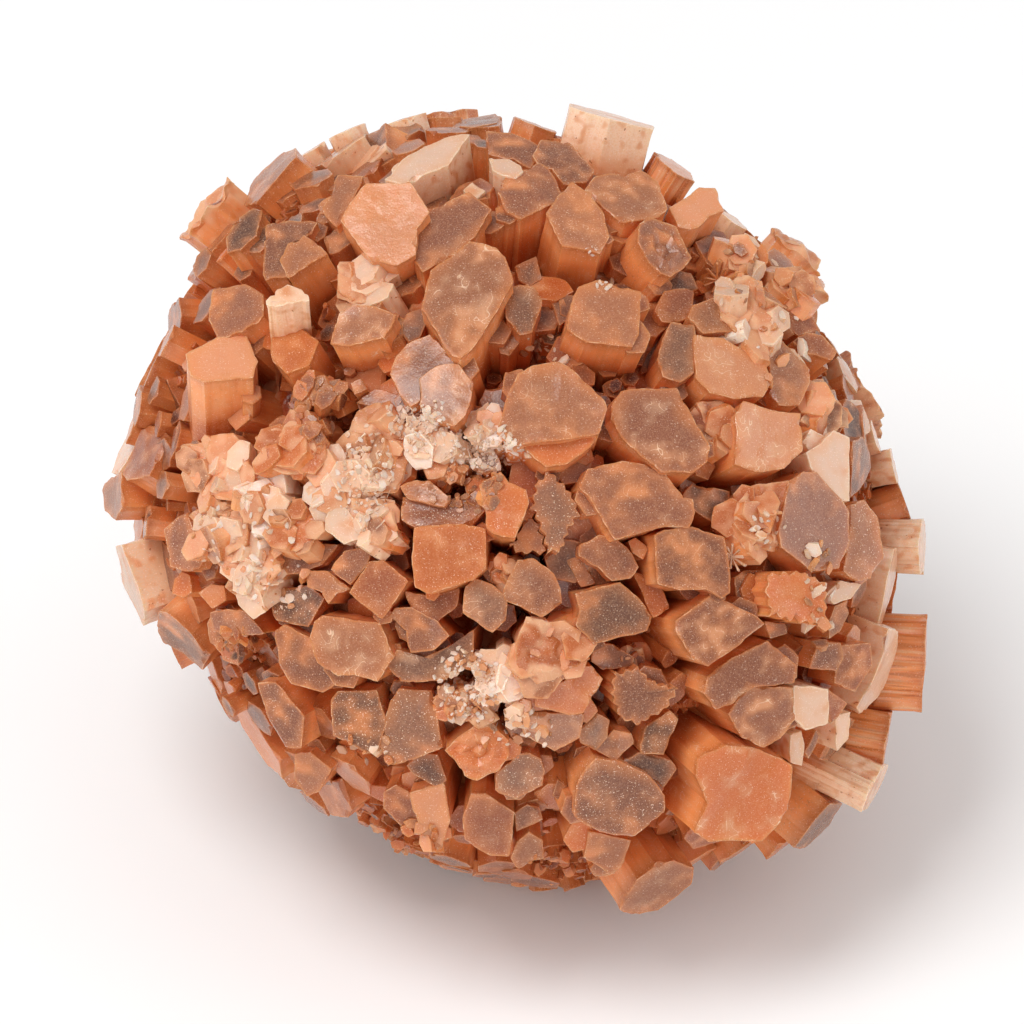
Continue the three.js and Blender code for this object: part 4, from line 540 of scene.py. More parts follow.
def end_relief(xy, marks, seed):
    """Height of an end over its plane in millimetres: faint lumps everywhere, and where the
    marks say so, flat steps, circles around the middle or coarse lumps."""
    lift = 0.16 * lumps(xy, 3.6, seed) + 0.05 * lumps(xy, 1.1, seed + 1)
    if "terrace" in marks:
        lift = lift + 0.5 * np.clip(2.5 * lumps(xy, 4.2, seed + 2), -1, 1)
    if "ring" in marks:
        lift = lift + 0.35 * np.cos(np.clip(np.hypot(*np.moveaxis(xy, -1, 0)), 0, 3.2) * 3.4)
    if "rough" in marks:
        lift = lift + 0.75 * lumps(xy, 2.3, seed + 3) + 0.35 * lumps(xy, 1.0, seed + 4)
    return lift


def slab_below_ground():
    """A block whose top lies in the resting plane, with the attributes that crystals have,
    which the worn faces take over."""
    size = 4 * LONG_RADIUS
    points = size * (np.array(list(np.ndindex(2, 2, 2))) - (0.5, 0.5, 1.0))
    sides = np.array([
        [0, 1, 3, 2], [4, 6, 7, 5], [0, 4, 5, 1], [2, 3, 7, 6], [0, 2, 6, 4], [1, 5, 7, 3]])
    inside = (points - HEART) @ FACE.T
    mesh = closed_mesh(
        "below_ground", inside, sides, inside, np.zeros(8), (*TONES["tan"], PLAIN_SEED),
        (0, 0.3, 0.2, 0))
    return bpy.data.objects.new("below_ground", mesh)


below_ground = slab_below_ground()
big_crystals = []
CRYSTAL_LENGTH = 19.0
STEP = 0.42
END_STEP = 1.2
ROUGH_END_STEP = 0.7
SHORT_LENGTH = 12.0
STUB_LENGTH = 5.0
SIDE_RINGS = (0.9, 2.2, 4.4, 8.0, 12.5)
SHORT_SIDE_RINGS = (1.0, 3.0)
RIDGE = 0.11
STRIPED_RIDGE = 0.45
TEETH = 0.75
WOBBLE = 0.07
FULL_SIZE = 2.5


def worn_rim(around, size, length, rough, seed):
    """How far the rim is set in at each point around it: a little everywhere, deeper in a few
    chips, more on rough ends, and never more than a share of the crystal's size."""
    chip = 0.07 + 0.05 * lumps(around[:, None], 0.9, seed + 5)
    chip += 1.2 * np.maximum(0, lumps(around[:, None], 1.7, seed + 6) - 0.5)
    most = (0.25 if length > STUB_LENGTH else 0.09) * size
    return np.minimum(chip * (1.6 if rough else 1.0), most)


def crystal(name, corners, tip, axis, tone, marks, seed, length=CRYSTAL_LENGTH, step=STEP):
    """One closed crystal. Its end is made of outlines that shrink toward the middle, its rim
    of two that are set in by a small uneven chip, and its sides of outlines further and
    further down, set in by slow waves. Those of full length are noted as big ones."""
    # twice the area, which is below nought when the corners go around clockwise
    ahead = np.roll(corners, -1, axis=0)
    area = (corners[:, 0] * ahead[:, 1] - corners[:, 1] * ahead[:, 0]).sum()
    corners = corners if area > 0 else corners[::-1]
    if length == CRYSTAL_LENGTH:
        big_crystals.append((tip, axis, corners))
    rough = "rough" in marks
    ridge = STRIPED_RIDGE if "stripe" in marks else RIDGE
    teeth = TEETH if "serrate" in marks else 0.0
    fine = min(1.0, np.hypot(*corners.T).mean() / FULL_SIZE)
    outline, inward = carved(corners, seed, ridge * fine, teeth, step, WOBBLE * fine)
    count = len(outline)
    middle = corners.mean(axis=0)
    arms = outline - middle
    size = np.hypot(*arms.T).mean()
    shares = np.linspace(0, 1, int(size / (ROUGH_END_STEP if rough else END_STEP)) + 3)[1:-1]
    chip = worn_rim(np.arange(count) * step, size, length, rough, seed)
    falls = SHORT_SIDE_RINGS if length < SHORT_LENGTH else SIDE_RINGS
    falls = np.array([*(falls if length > STUB_LENGTH else ()), length])

    # rows: outlines that grow from the middle of the end, two of the rim, those down the sides
    share = np.concatenate([shares, [1, 1], np.ones(len(falls))])[:, None]
    set_in = np.zeros((len(share), count))
    set_in[len(shares)] = chip
    depth = np.zeros((len(share), count))
    depth[len(shares) + 1] = chip * 0.8
    depth[len(shares) + 2:] = falls[:, None]
    fade = np.clip(1.2 - depth, 0, 1)
    xy = middle + arms * share[..., None] + inward * set_in[..., None]
    sides = len(shares) + 1
    waves = lumps(np.dstack([xy[sides:], depth[sides:] / 3]), 1.9, seed + 7) + 1
    set_in[sides:] += (0.42 if rough else 0.10) * waves * np.minimum(1, depth[sides:])
    xy = middle + arms * share[..., None] + inward * set_in[..., None]
    depth = depth - end_relief(xy - middle, marks, seed) * fade
    poles = np.array([middle, middle])
    pole_depth = np.array([-end_relief(np.zeros(2), marks, seed), length])
    xy = np.concatenate([xy.reshape(-1, 2), poles])
    depth = np.concatenate([depth.ravel(), pole_depth])
    # how far in from the rim each point lies: nought down the sides, stretched on small ends
    rim = (1 - share) * np.hypot(*arms.T) + set_in * (np.arange(len(share)) < sides)[:, None]
    rim = np.concatenate([rim.ravel(), [size, 0]]) * np.clip(3 / size, 1, 6)

    first, second = across_axis(axis)
    points = tip + xy[:, :1] * first + xy[:, 1:] * second - depth[:, None] * axis
    place = np.column_stack([xy - middle, depth])
    tint = np.array(TONES[tone]) * (0.86 + 0.28 * scatter(seed, 8))
    # how cloudy, speckled, striped and crusted it is
    habit = [
        0.35 * scatter(seed, 9) + 0.65 * ("cloud" in marks) + 0.5 * ("pale" in marks),
        0.25 + 0.75 * ("specks" in marks),
        0.2 + 0.8 * ("stripe" in marks),
        1.0 * rough + 0.6 * ("dusted" in marks)]
    faces = ring_faces(count, len(share))
    return closed_mesh(name, points, faces, place, rim, (*tint, scatter(seed, 10)), habit)


CRYSTAL_SHARP = 24.0


def grown_together(name, meshes):
    """Joins the crystals of a group in one closed solid and cuts it off at the ground."""
    others = bpy.data.collections.new(name + "_parts")
    solids = [bpy.data.objects.new(mesh.name, mesh) for mesh in meshes]
    for solid in solids[1:]:
        others.objects.link(solid)
    bpy.context.scene.collection.objects.link(solids[0])
    join = solids[0].modifiers.new("join", "BOOLEAN")
    join.operation = "UNION"
    join.operand_type = "COLLECTION"
    join.collection = others
    join.solver = "MANIFOLD"
    cut = solids[0].modifiers.new("ground", "BOOLEAN")
    cut.operation = "DIFFERENCE"
    cut.object = below_ground
    cut.solver = "MANIFOLD"
    ready = bpy.context.evaluated_depsgraph_get()
    joined = bpy.data.meshes.new_from_object(solids[0].evaluated_get(ready))
    for solid in solids:
        bpy.data.objects.remove(solid)
    bpy.data.collections.remove(others)
    for mesh in meshes:
        bpy.data.meshes.remove(mesh)
    finish_piece(name, joined, CRYSTAL_SHARP)


BESIDE_LENGTH = 11.0
CLUSTER_STEP = 0.6


def beside(name, corners, tip, axis, tone, seed):
    """Two narrower crystals that have grown along the side of a big one, each at one of its
    corners. Their ends stand lower by a scattered drop."""
    first, second = across_axis(axis)
    made = []
    for turn in range(2):
        number = seed * 7 + turn
        corner = corners[int(scatter(number, 41) * len(corners))] * 0.92
        half = 0.9 + 1.3 * scatter(number, 42)
        drop = 0.7 + 3.6 * scatter(number, 43)
        spot = tip + corner[0] * first + corner[1] * second - axis * drop
        lean = unit(axis + 0.10 * (scatter(number, np.array([44, 45, 46])) - 0.5))
        section = hexagon(half, half * 0.8, scatter(number, 47) * np.pi, number)
        made.append(crystal(
            f"{name}_{turn}", section, spot, lean, tone, "", number, BESIDE_LENGTH, CLUSTER_STEP))
    return made


GOLDEN_ANGLE = np.pi * (3 - np.sqrt(5))
BLOCK_COUNT = 9
BLOCK_TONES = {
    "cream": ["cream", "white", "cream", "peach"],
    "peach": ["cream", "peach", "cream", "tan"],
}


def blocks(name, corners, tip, axis, tone, seed):
    """Blocky crystals that crowd on a rough end: spread from its middle outward by the golden
    angle, each leaning away from the middle and standing up by its own amount."""
    first, second = across_axis(axis)
    size = np.hypot(*corners.T).mean()
    made = []
    for turn in range(BLOCK_COUNT):
        number = seed * 31 + turn
        angle = GOLDEN_ANGLE * turn + seed
        out = size * np.sqrt((turn + 0.5) / BLOCK_COUNT) * 0.95
        away = np.cos(angle) * first + np.sin(angle) * second
        half = (0.75 + 1.2 * scatter(number, 51)) * min(1.3, size / 2.4)
        spot = tip + away * out + axis * (1.5 * scatter(number, 52) - 0.35 - 0.12 * out)
        tilt = 0.9 * (scatter(number, np.array([53, 54, 55])) - 0.5)
        lean = unit(axis + away * 0.25 * out / size + tilt)
        section = hexagon(half, half * (0.55 + 0.4 * scatter(number, 56)), angle * 1.7, number)
        tones = BLOCK_TONES.get(tone, [tone, "tan", "orange", "peach"])
        choice = tones[int(scatter(number, 57) * 4)]
        made.append(crystal(
            f"{name}_{turn}", section, spot, lean, choice, "dusted", number, 3.0 + half,
            CLUSTER_STEP))
    return made


FOCUS = np.array([-2.0, -9.0, -4.0])
FACING_SHARE = 0.3
BROAD = 2.6


def facing_crystals(name, rows, seed):
    """Crystals whose ends face the best side. The middle of the end stands proud of the round
    outline by the row's amount. The axis runs through it from a focus near the heart, turned
    out of the face by a share and by the row's lean, and the corners are laid back square to
    it. Rough ends carry blocks, broad ones have crystals beside them."""
    made = []
    for number, (tone, marks, out, lean, corners) in enumerate(rows):
        corners = np.array(corners)
        middle = corners.mean(axis=0)
        tip = np.array([*middle, dome_depth(*middle) + out])
        axis = unit(unit(tip - FOCUS) + np.array([*np.tan(np.radians(lean)), FACING_SHARE]))
        section = laid_back(corners - middle, axis)
        made.append(crystal(f"{name}_{number}", section, tip, axis, tone, marks, seed + number))
        if "rough" in marks:
            made += blocks(f"{name}_block_{number}", section, tip, axis, tone, seed + number)
        elif np.hypot(*section.T).mean() > BROAD:
            made += beside(f"{name}_side_{number}", section, tip, axis, tone, seed + number)
    grown_together(name, made)


def hexagon(half_width, half_thick, turn, seed):
    """Six corners on an oval that is turned, each a little further out than the oval by its
    own amount."""
    angle = np.arange(6) * np.pi / 3 + np.pi / 6
    size = 1.06 + 0.1 * scatter(seed, np.arange(20, 26))
    x = half_width * size * np.cos(angle)
    y = half_thick * size * np.sin(angle)
    return np.column_stack([
        x * np.cos(turn) - y * np.sin(turn), x * np.sin(turn) + y * np.cos(turn)])


def laid_back(offsets, axis):
    """Corners seen square to the face, moved along the line of sight onto the plane through
    the tip that is square to the axis, and measured along its two directions."""
    slope = -(offsets @ axis[:2]) / axis[2]
    offsets = np.column_stack([offsets, slope])
    first, second = across_axis(axis)
    return np.column_stack([offsets @ first, offsets @ second])


regions = {"crown": CROWN, "right": RIGHT, "low": LOW, "left": LEFT, "crusted": CRUSTED}
for number, (region, rows) in enumerate(regions.items(), 1):
    facing_crystals(region + "_crystals", rows, 100 * number)

# ---- Crystals on the outline ------------------------------------------------------------
# Around the edge of the best side the crystals point sideways. Some show their end as a
# narrow strip, the others only their ribbed sides, lit through and paler toward the tip.

# Tone, marks, height of the end in front of the heart, corners of the strip
EDGE_ON = [
    ("tan", "", 6, [(-31.3, 34.9), (-29.9, 38.1), (-26.8, 40.9), (-25.4, 41.2), (-25.2, 40.2),
        (-28.0, 37.3), (-29.8, 35.1)]),
    ("tan", "", 5, [(-37.8, 26.4), (-36.0, 29.5), (-33.3, 32.5), (-32.4, 32.2), (-34.5, 29.8),
        (-36.9, 26.8)]),
    ("grey", "", 5, [(-40.0, 22.0), (-39.6, 23.3), (-38.8, 24.0), (-38.5, 22.0), (-38.9, 19.5),
        (-39.8, 18.8)]),
    ("grey", "", 9, [(-40.8, 14.2), (-40.0, 10.8), (-38.5, 7.4), (-37.4, 7.8), (-38.5, 11.2),
        (-39.3, 13.2), (-39.8, 14.6)]),
    ("brown", "", 10, [(-42.9, 8.8), (-41.9, 9.3), (-40.5, 9.0), (-39.9, 8.1), (-42.0, 3.8),
        (-44.5, 3.3), (-45.2, 4.0)]),
    ("cream", "", 0, [(-46.5, 4.3), (-45.0, 7.9), (-43.4, 8.9), (-43.3, 8.0), (-44.5, 5.8), (-45.6, 4.1)]),
    ("tan", "", 4, [(-47.6, 2.0), (-47.2, 3.0), (-45.4, 4.0), (-45.2, 2.0), (-45.1, 0.2), (-46.0, -1.3),
        (-47.3, -0.2)]),
    ("cream", "", 5, [(-45.8, -4.5), (-45.2, -4.4), (-43.5, -9.0), (-42.5, -11.8), (-42.8, -13.5),
        (-44.0, -11.0), (-45.3, -8.5)]),
    ("grey", "", 10, [(-41.0, -12.0), (-40.0, -12.0), (-37.1, -14.5), (-35.5, -17.0), (-36.2, -18.6),
        (-38.2, -16.6), (-40.4, -15.5), (-41.2, -13.8)]),
    ("grey", "", 12, [(-33.9, -17.0), (-31.0, -17.0), (-30.2, -16.3), (-29.9, -20.2), (-31.0, -20.4),
        (-33.4, -18.8)]),
    ("peach", "", 5, [(-33.6, -20.0), (-33.0, -22.0), (-31.5, -25.2), (-28.5, -29.6), (-26.9, -31.0),
        (-27.2, -29.0), (-30.4, -24.4), (-32.2, -20.0)]),
    ("tan", "", 10, [(-23.0, -32.0), (-22.0, -31.3), (-20.2, -31.2), (-18.9, -34.5), (-19.5, -35.4),
        (-21.2, -35.1)]),
    ("tan", "", 12, [(12.3, -45.0), (14.0, -42.5), (16.0, -40.9), (18.0, -40.4), (20.3, -41.4),
        (20.0, -43.0), (16.3, -46.1), (13.5, -46.7), (12.0, -46.0)]),
    ("grey", "", 3, [(37.4, -34.0), (36.0, -36.5), (33.2, -39.2), (32.1, -39.0), (34.3, -35.9),
        (36.0, -34.0)]),
    ("cream", "", 9, [(43.7, -4.7), (43.5, -8.0), (42.9, -10.5), (41.9, -13.0), (41.2, -14.2),
        (41.9, -11.0), (42.5, -7.5), (43.2, -4.9)]),
    ("cream", "", 10, [(42.7, -14.0), (43.8, -14.2), (43.6, -16.4), (42.0, -20.8), (39.6, -23.6),
        (39.1, -22.8), (40.6, -20.3), (42.2, -16.4)]),
    ("mauve", "", 3, [(-7.2, 43.2), (-7.0, 44.2), (-5.0, 45.0), (-2.5, 45.3), (-1.8, 44.8), (-2.0, 43.9),
        (-4.6, 43.6)]),
    ("cream", "", 4, [(-23.2, 39.1), (-20.0, 41.6), (-17.6, 43.0), (-17.4, 42.6), (-20.0, 40.8),
        (-22.0, 39.5)]),
    ("grey", "", 8, [(-18.2, 41.8), (-15.0, 44.0), (-14.8, 41.0), (-16.0, 39.6), (-17.4, 38.9)]),
    ("cream", "", 8, [(-14.9, 43.8), (-11.3, 41.0), (-13.0, 39.6), (-14.8, 41.0)]),
    ("grey", "specks", 14, [(38.4, 7.5), (39.7, 8.0), (40.6, 6.0), (40.9, 4.5), (39.5, 2.5), (38.3, 1.2)]),
    ("cream", "", 8, [(38.4, 12.3), (39.6, 12.2), (40.6, 10.0), (40.7, 9.0), (40.0, 8.3), (38.5, 9.0)]),
]
EDGE_ON_THICKNESS = 8.5

# Tone, marks, tip right, up and out, aim around the face and slope out of it in degrees,
# width, thickness, roll in degrees
SIDEWAYS = [
    ("cream", "", (11.0, 45.0, 4), 75, 5, 10.3, 9, 0),
    ("peach", "", (2.2, 44.1, 2), 70, 3, 5.0, 6, 0),
    ("peach", "stripe", (18.2, 39.2, 4), 58, 8, 5.2, 8, 10),
    ("cream", "", (-13.0, 44.6, 0), 108, 0, 5.0, 6, 10),
    ("cream", "", (-19.4, 43.4, -1), 114, 0, 4.4, 6, 0),
    ("cream", "", (-24.0, 40.9, -3), 122, 0, 4.0, 6, 20),
    ("peach", "rough", (-35.8, 34.4, 0), 140, 4, 8.6, 8, 15),
    ("peach", "", (-43.5, -2.0, 1), 178, 8, 5.0, 8, 0),
    ("orange", "", (-39.2, -16.9, 0), 205, 0, 3.0, 4, 20),
    ("peach", "", (-34.2, -18.4, 0), 210, 0, 3.0, 4, 0),
    ("peach", "stripe", (-17.6, -34.8, 2), 242, 6, 5.5, 7, 0),
    ("tan", "rough", (-14.0, -37.4, 0), 248, 6, 6.0, 7, 30),
    ("orange", "", (-10.3, -39.8, 0), 256, 4, 4.0, 5, 0),
    ("peach", "", (-6.3, -41.6, 1), 261, 6, 4.6, 6, 15),
    ("tan", "", (-0.9, -42.7, 1), 268, 8, 5.6, 7, 0),
    ("tan", "", (4.6, -41.9, 2), 276, 10, 4.0, 5, 25),
    ("tan", "", (8.2, -41.4, 1), 281, 6, 4.4, 6, 0),
    ("peach", "", (25.4, -39.6, 2), 303, 4, 4.6, 6, 0),
    ("orange", "", (30.6, -39.0, 1), 308, 5, 3.6, 5, 20),
    ("cream", "stripe", (41.2, -32.2, 4), 334, 6, 6.0, 10, 8),
    ("orange", "stripe", (42.6, -26.9, 1), 350, 2, 7.4, 9, 0),
    ("orange", "stripe", (47.0, -17.8, -1), 357, 0, 11.6, 9, 0),
    ("cream", "stripe", (46.7, -4.5, 3), 358, 6, 6.4, 8, 0),
    ("brown", "", (44.7, 0.9, 1), 20, 2, 3.6, 5, 40),
    ("cream", "", (43.4, 4.8, 1), 12, 4, 4.0, 6, 0),
    ("cream", "", (41.4, 8.2, 2), 18, 4, 3.4, 5, 10),
    ("cream", "", (38.2, 15.4, 4), 28, 8, 4.6, 6, 0),
    ("peach", "rough", (34.6, 25.6, 1), 36, 6, 4.4, 6, 0),
    ("peach", "rough", (32.4, 29.8, 1), 46, 4, 7.0, 7, 20),
    ("cream", "", (25.0, 33.2, 1), 54, 4, 3.6, 6, 0),
    ("mauve", "", (30.6, 27.8, 10), 42, 22, 4.6, 5, 0),
]


def edge_on_crystal(number, row):
    """The long way of the strip, the main direction of its corners, gives the one square to
    it; how narrow the strip is for the thickness of the crystal gives the slope of the axis
    out of the face."""
    tone, marks, height, corners = row
    corners = np.array(corners)
    middle = corners.mean(axis=0)
    offsets = corners - middle
    spread = offsets.T @ offsets
    turn = np.arctan2(2 * spread[0, 1], spread[0, 0] - spread[1, 1]) / 2 + np.pi / 2
    square = np.array([np.cos(turn), np.sin(turn)])
    square = square * np.sign(middle @ square)
    rise = min(0.9, np.ptp(corners @ square) / EDGE_ON_THICKNESS)
    axis = np.array([*square * np.sqrt(1 - rise ** 2), rise])
    tip = np.array([*middle, height])
    return crystal(f"edge_{number}", laid_back(offsets, axis), tip, axis, tone, marks, 600 + number)


def sideways_crystal(number, row):
    """Aim and slope give the axis. The width is laid in the face, square to the aim, and the
    roll turns the section around the axis from there."""
    tone, marks, tip, aim, toward, width, thick, roll = row
    aim, toward, roll = np.radians([aim, toward, roll])
    axis = np.array([np.cos(aim) * np.cos(toward), np.sin(aim) * np.cos(toward), np.sin(toward)])
    first, second = across_axis(axis)
    level = np.array([-np.sin(aim), np.cos(aim), 0.0])
    turn = np.arctan2(level @ second, level @ first) + roll
    section = hexagon(width / 2, thick / 2, turn, number)
    return crystal(f"side_{number}", section, np.array(tip), axis, tone, marks, 700 + number)


grown_together("edge_crystals", [edge_on_crystal(*item) for item in enumerate(EDGE_ON)])
grown_together("outline_crystals", [sideways_crystal(*item) for item in enumerate(SIDEWAYS)])

# ---- The far side -----------------------------------------------------------------------
# The crystals go on all around. Those straight below are worn down to one flat spot, on
# which the cluster rests.

FAR_COUNT = 164
FAR_EDGE = -0.08
FAR_LEAN = np.radians(7)
FOOT_REACH = 44.5
FOOT_ANGLE = np.radians(23)
FOOT_HALF_WIDTH = 7
CORNER_STREAMS = np.arange(76, 82)
FAR_TONES = ["mauve", "tan", "tan", "peach", "orange", "mauve", "grey", "tan", "peach", "brown"]
FAR_MARKS = ["cloud", "", "specks", "", "terrace", "cloud specks", "", "rough", "stripe", "ring"]
DOWN = np.array([0.0, -np.cos(TILT), -np.sin(TILT)])


def even_directions(count):
    """Directions spread evenly over a ball: they go down in even steps, and each is turned on
    from the last by the golden angle."""
    number = np.arange(count)
    z = 1 - 2 * (number + 0.5) / count
    ring = np.sqrt(1 - z * z)
    turn = GOLDEN_ANGLE * number
    return np.column_stack([ring * np.cos(turn), ring * np.sin(turn), z])


def far_crystals():
    """Even directions, kept where they lie behind the edge of the best side. Reach, width,
    thickness, roll and lean are scattered between their limits; those close to straight down
    reach below the ground."""
    section = hexagon(FOOT_HALF_WIDTH, FOOT_HALF_WIDTH, 0, 0)
    made = [crystal("far_foot", section, DOWN * FOOT_REACH, DOWN, "tan", "", 800)]
    places = [DOWN]
    for i, direction in enumerate(even_directions(FAR_COUNT)):
        if direction[2] > FAR_EDGE:
            continue
        foot = direction @ DOWN > np.cos(FOOT_ANGLE)
        reach = FOOT_REACH if foot else reach_along(direction) * (0.87 + 0.11 * scatter(i, 1))
        half = 4.2 + 2.8 * scatter(i, 2) ** 1.5
        section = hexagon(half, half * (0.72 + 0.28 * scatter(i, 3)), scatter(i, 4) * np.pi, i)
        section = section * (0.86 + 0.28 * scatter(i, CORNER_STREAMS))[:, None]
        lean = 0 if foot else FAR_LEAN
        axis = unit(direction + lean * (scatter(i, np.array([5, 6, 7])) - 0.5) * 2)
        tone = FAR_TONES[int(scatter(i, 11) * len(FAR_TONES))]
        marks = FAR_MARKS[int(scatter(i, 12) * len(FAR_MARKS))]
        made.append(crystal(f"far_{i}", section, direction * reach, axis, tone, marks, 800 + i))
        places.append(direction)
    return made, np.array(places)


far, far_places = far_crystals()
quarter = (far_places[:, 0] > 0) * 2 + (far_places[:, 1] > 0)
for number, name in enumerate(("far_low_left", "far_top_left", "far_low_right", "far_top_right")):
    grown_together(name, [mesh for mesh, part in zip(far, quarter) if part == number])

# ---- Smaller crystals in the gaps ------------------------------------------------------
# Between the big crystals stand smaller ones that started later and reach less far, and below
# them a druse of tiny ones. What lies wholly inside a bigger crystal is left out.

SMALL_COUNT = 1500
SMALL_LENGTH = 9.0
SMALL_REACH = (0.86, 0.96)
SMALL_HALF_WIDTH = (1.2, 3.2)
NEAR_STEP = 0.85
FAR_STEP = 1.15
SMALL_TONES = ["grey", "mauve", "brown", "dark", "orange", "tan", "peach", "grey"]


def small_crystals():
    """Even directions all around, with scattered reach, width and lean. A crystal is left out
    where its tip and six points around it are all inside a bigger one."""
    directions = even_directions(SMALL_COUNT)
    number = np.arange(SMALL_COUNT)
    low, high = SMALL_REACH
    share = low + (high - low) * scatter(number, 31)
    tips = directions * (reach_along(directions) * share)[:, None]
    low, high = SMALL_HALF_WIDTH
    halves = low + (high - low) * scatter(number, 32) ** 1.5
    leans = directions + 0.35 * (scatter(number[:, None], np.array([33, 34, 35])) - 0.5)
    hidden = buried(tips)
    shift = np.array([across_axis(direction) for direction in directions])
    for turn in np.arange(6) * np.pi / 3:
        edge = shift[:, 0] * np.cos(turn) + shift[:, 1] * np.sin(turn)
        hidden &= buried(tips + edge * halves[:, None] * 0.8)
    made = []
    for i in number[~hidden]:
        thick = halves[i] * (0.65 + 0.35 * scatter(i, 36))
        section = hexagon(halves[i], thick, scatter(i, 37) * np.pi, i)
        tone = SMALL_TONES[int(scatter(i, 38) * len(SMALL_TONES))]
        step = NEAR_STEP if directions[i][2] > FAR_EDGE else FAR_STEP
        made.append(crystal(
            f"small_{i}", section, tips[i], unit(leans[i]), tone, "", 1000 + i, SMALL_LENGTH,
            step))
    return made, directions[~hidden]


BURIED_DEPTH = 0.4


def buried(points):
    """True for each point inside a big crystal: a line from it to one side crosses the outline
    an odd number of times, and it lies below the end by more than a small depth."""
    inside = np.zeros(len(points), bool)
    for tip, axis, corners in big_crystals:
        first, second = across_axis(axis)
        offset = points - tip
        flat = np.column_stack([offset @ first, offset @ second])
        ahead = np.roll(corners, -1, axis=0)
        crosses = (corners[:, 1] > flat[:, 1:]) != (ahead[:, 1] > flat[:, 1:])
        rise = np.where(ahead[:, 1] == corners[:, 1], 1e-9, ahead[:, 1] - corners[:, 1])
        at = (ahead[:, 0] - corners[:, 0]) * (flat[:, 1:] - corners[:, 1]) / rise + corners[:, 0]
        within = (crosses & (flat[:, :1] < at)).sum(axis=1) % 2 == 1
        inside |= within & (offset @ axis < -BURIED_DEPTH)
    return inside


small, small_places = small_crystals()
side = (small_places[:, 2] > FAR_EDGE) * 2 + (small_places[:, 0] > 0)
for number, name in enumerate(("small_far_left", "small_far_right", "small_left", "small_right")):
    grown_together(name, [mesh for mesh, part in zip(small, side) if part == number])

# ---- Druse and crust -------------------------------------------------------------------
# The walls and floors of the gaps are set with tiny crystals. A white crust of grains lies
# over some ends, most of it left of the middle and below it, and three sprays of thin
# needles stand on others.


def surface_below(starts, directions):
    """Where lines from the start points first meet what is built so far, and the slope there."""
    ready = bpy.context.evaluated_depsgraph_get()
    hits, slopes, found = [], [], []
    for start, direction in zip((HEART + starts @ FACE) * MM, directions @ FACE):
        hit, place, slope, *_ = bpy.context.scene.ray_cast(ready, start.tolist(), direction.tolist())
        hits.append(place)
        slopes.append(slope)
        found.append(hit)
    return (np.array(hits) / MM - HEART) @ FACE.T, np.array(slopes) @ FACE.T, np.array(found)


DRUSE_COUNT = 5200
DRUSE_SHARE = 0.90
DRUSE_LENGTH = 2.5
DRUSE_STEP = 1.0
# the gap tone among them is partly painted shade on the floors of the gaps
DRUSE_TONES = ["brown", "orange", "dark", "gap", "brown", "gap"]
OFF_GROUND = 1.5
OUTSIDE = 60.0
directions = even_directions(DRUSE_COUNT)
shake = scatter(np.arange(DRUSE_COUNT)[:, None], np.array([61, 62, 63])) - 0.5
directions = directions + 0.03 * shake
directions = directions / np.linalg.norm(directions, axis=1, keepdims=True)
spots, slopes, found = surface_below(directions * OUTSIDE, -directions)
deep = found & (np.linalg.norm(spots, axis=1) < DRUSE_SHARE * reach_along(directions))
deep &= (HEART + spots @ FACE)[:, 2] > OFF_GROUND
grains = []
for i in np.flatnonzero(deep):
    half = 0.35 + 0.75 * scatter(i, 64) ** 2
    lean = unit(directions[i] + 0.5 * slopes[i] + 0.9 * (scatter(i, np.array([65, 66, 67])) - 0.5))
    section = hexagon(half, half * 0.8, 2 * scatter(i, 69), i)
    tone = DRUSE_TONES[int(scatter(i, 68) * len(DRUSE_TONES))]
    grains.append(crystal(
        f"druse_{i}", section, spots[i] + lean * (0.3 + half), lean, tone, "", 5000 + i,
        DRUSE_LENGTH, DRUSE_STEP))
in_front = directions[deep][:, 2] > 0
grown_together("druse_near", [grain for grain, near in zip(grains, in_front) if near])
grown_together("druse_far", [grain for grain, near in zip(grains, in_front) if not near])

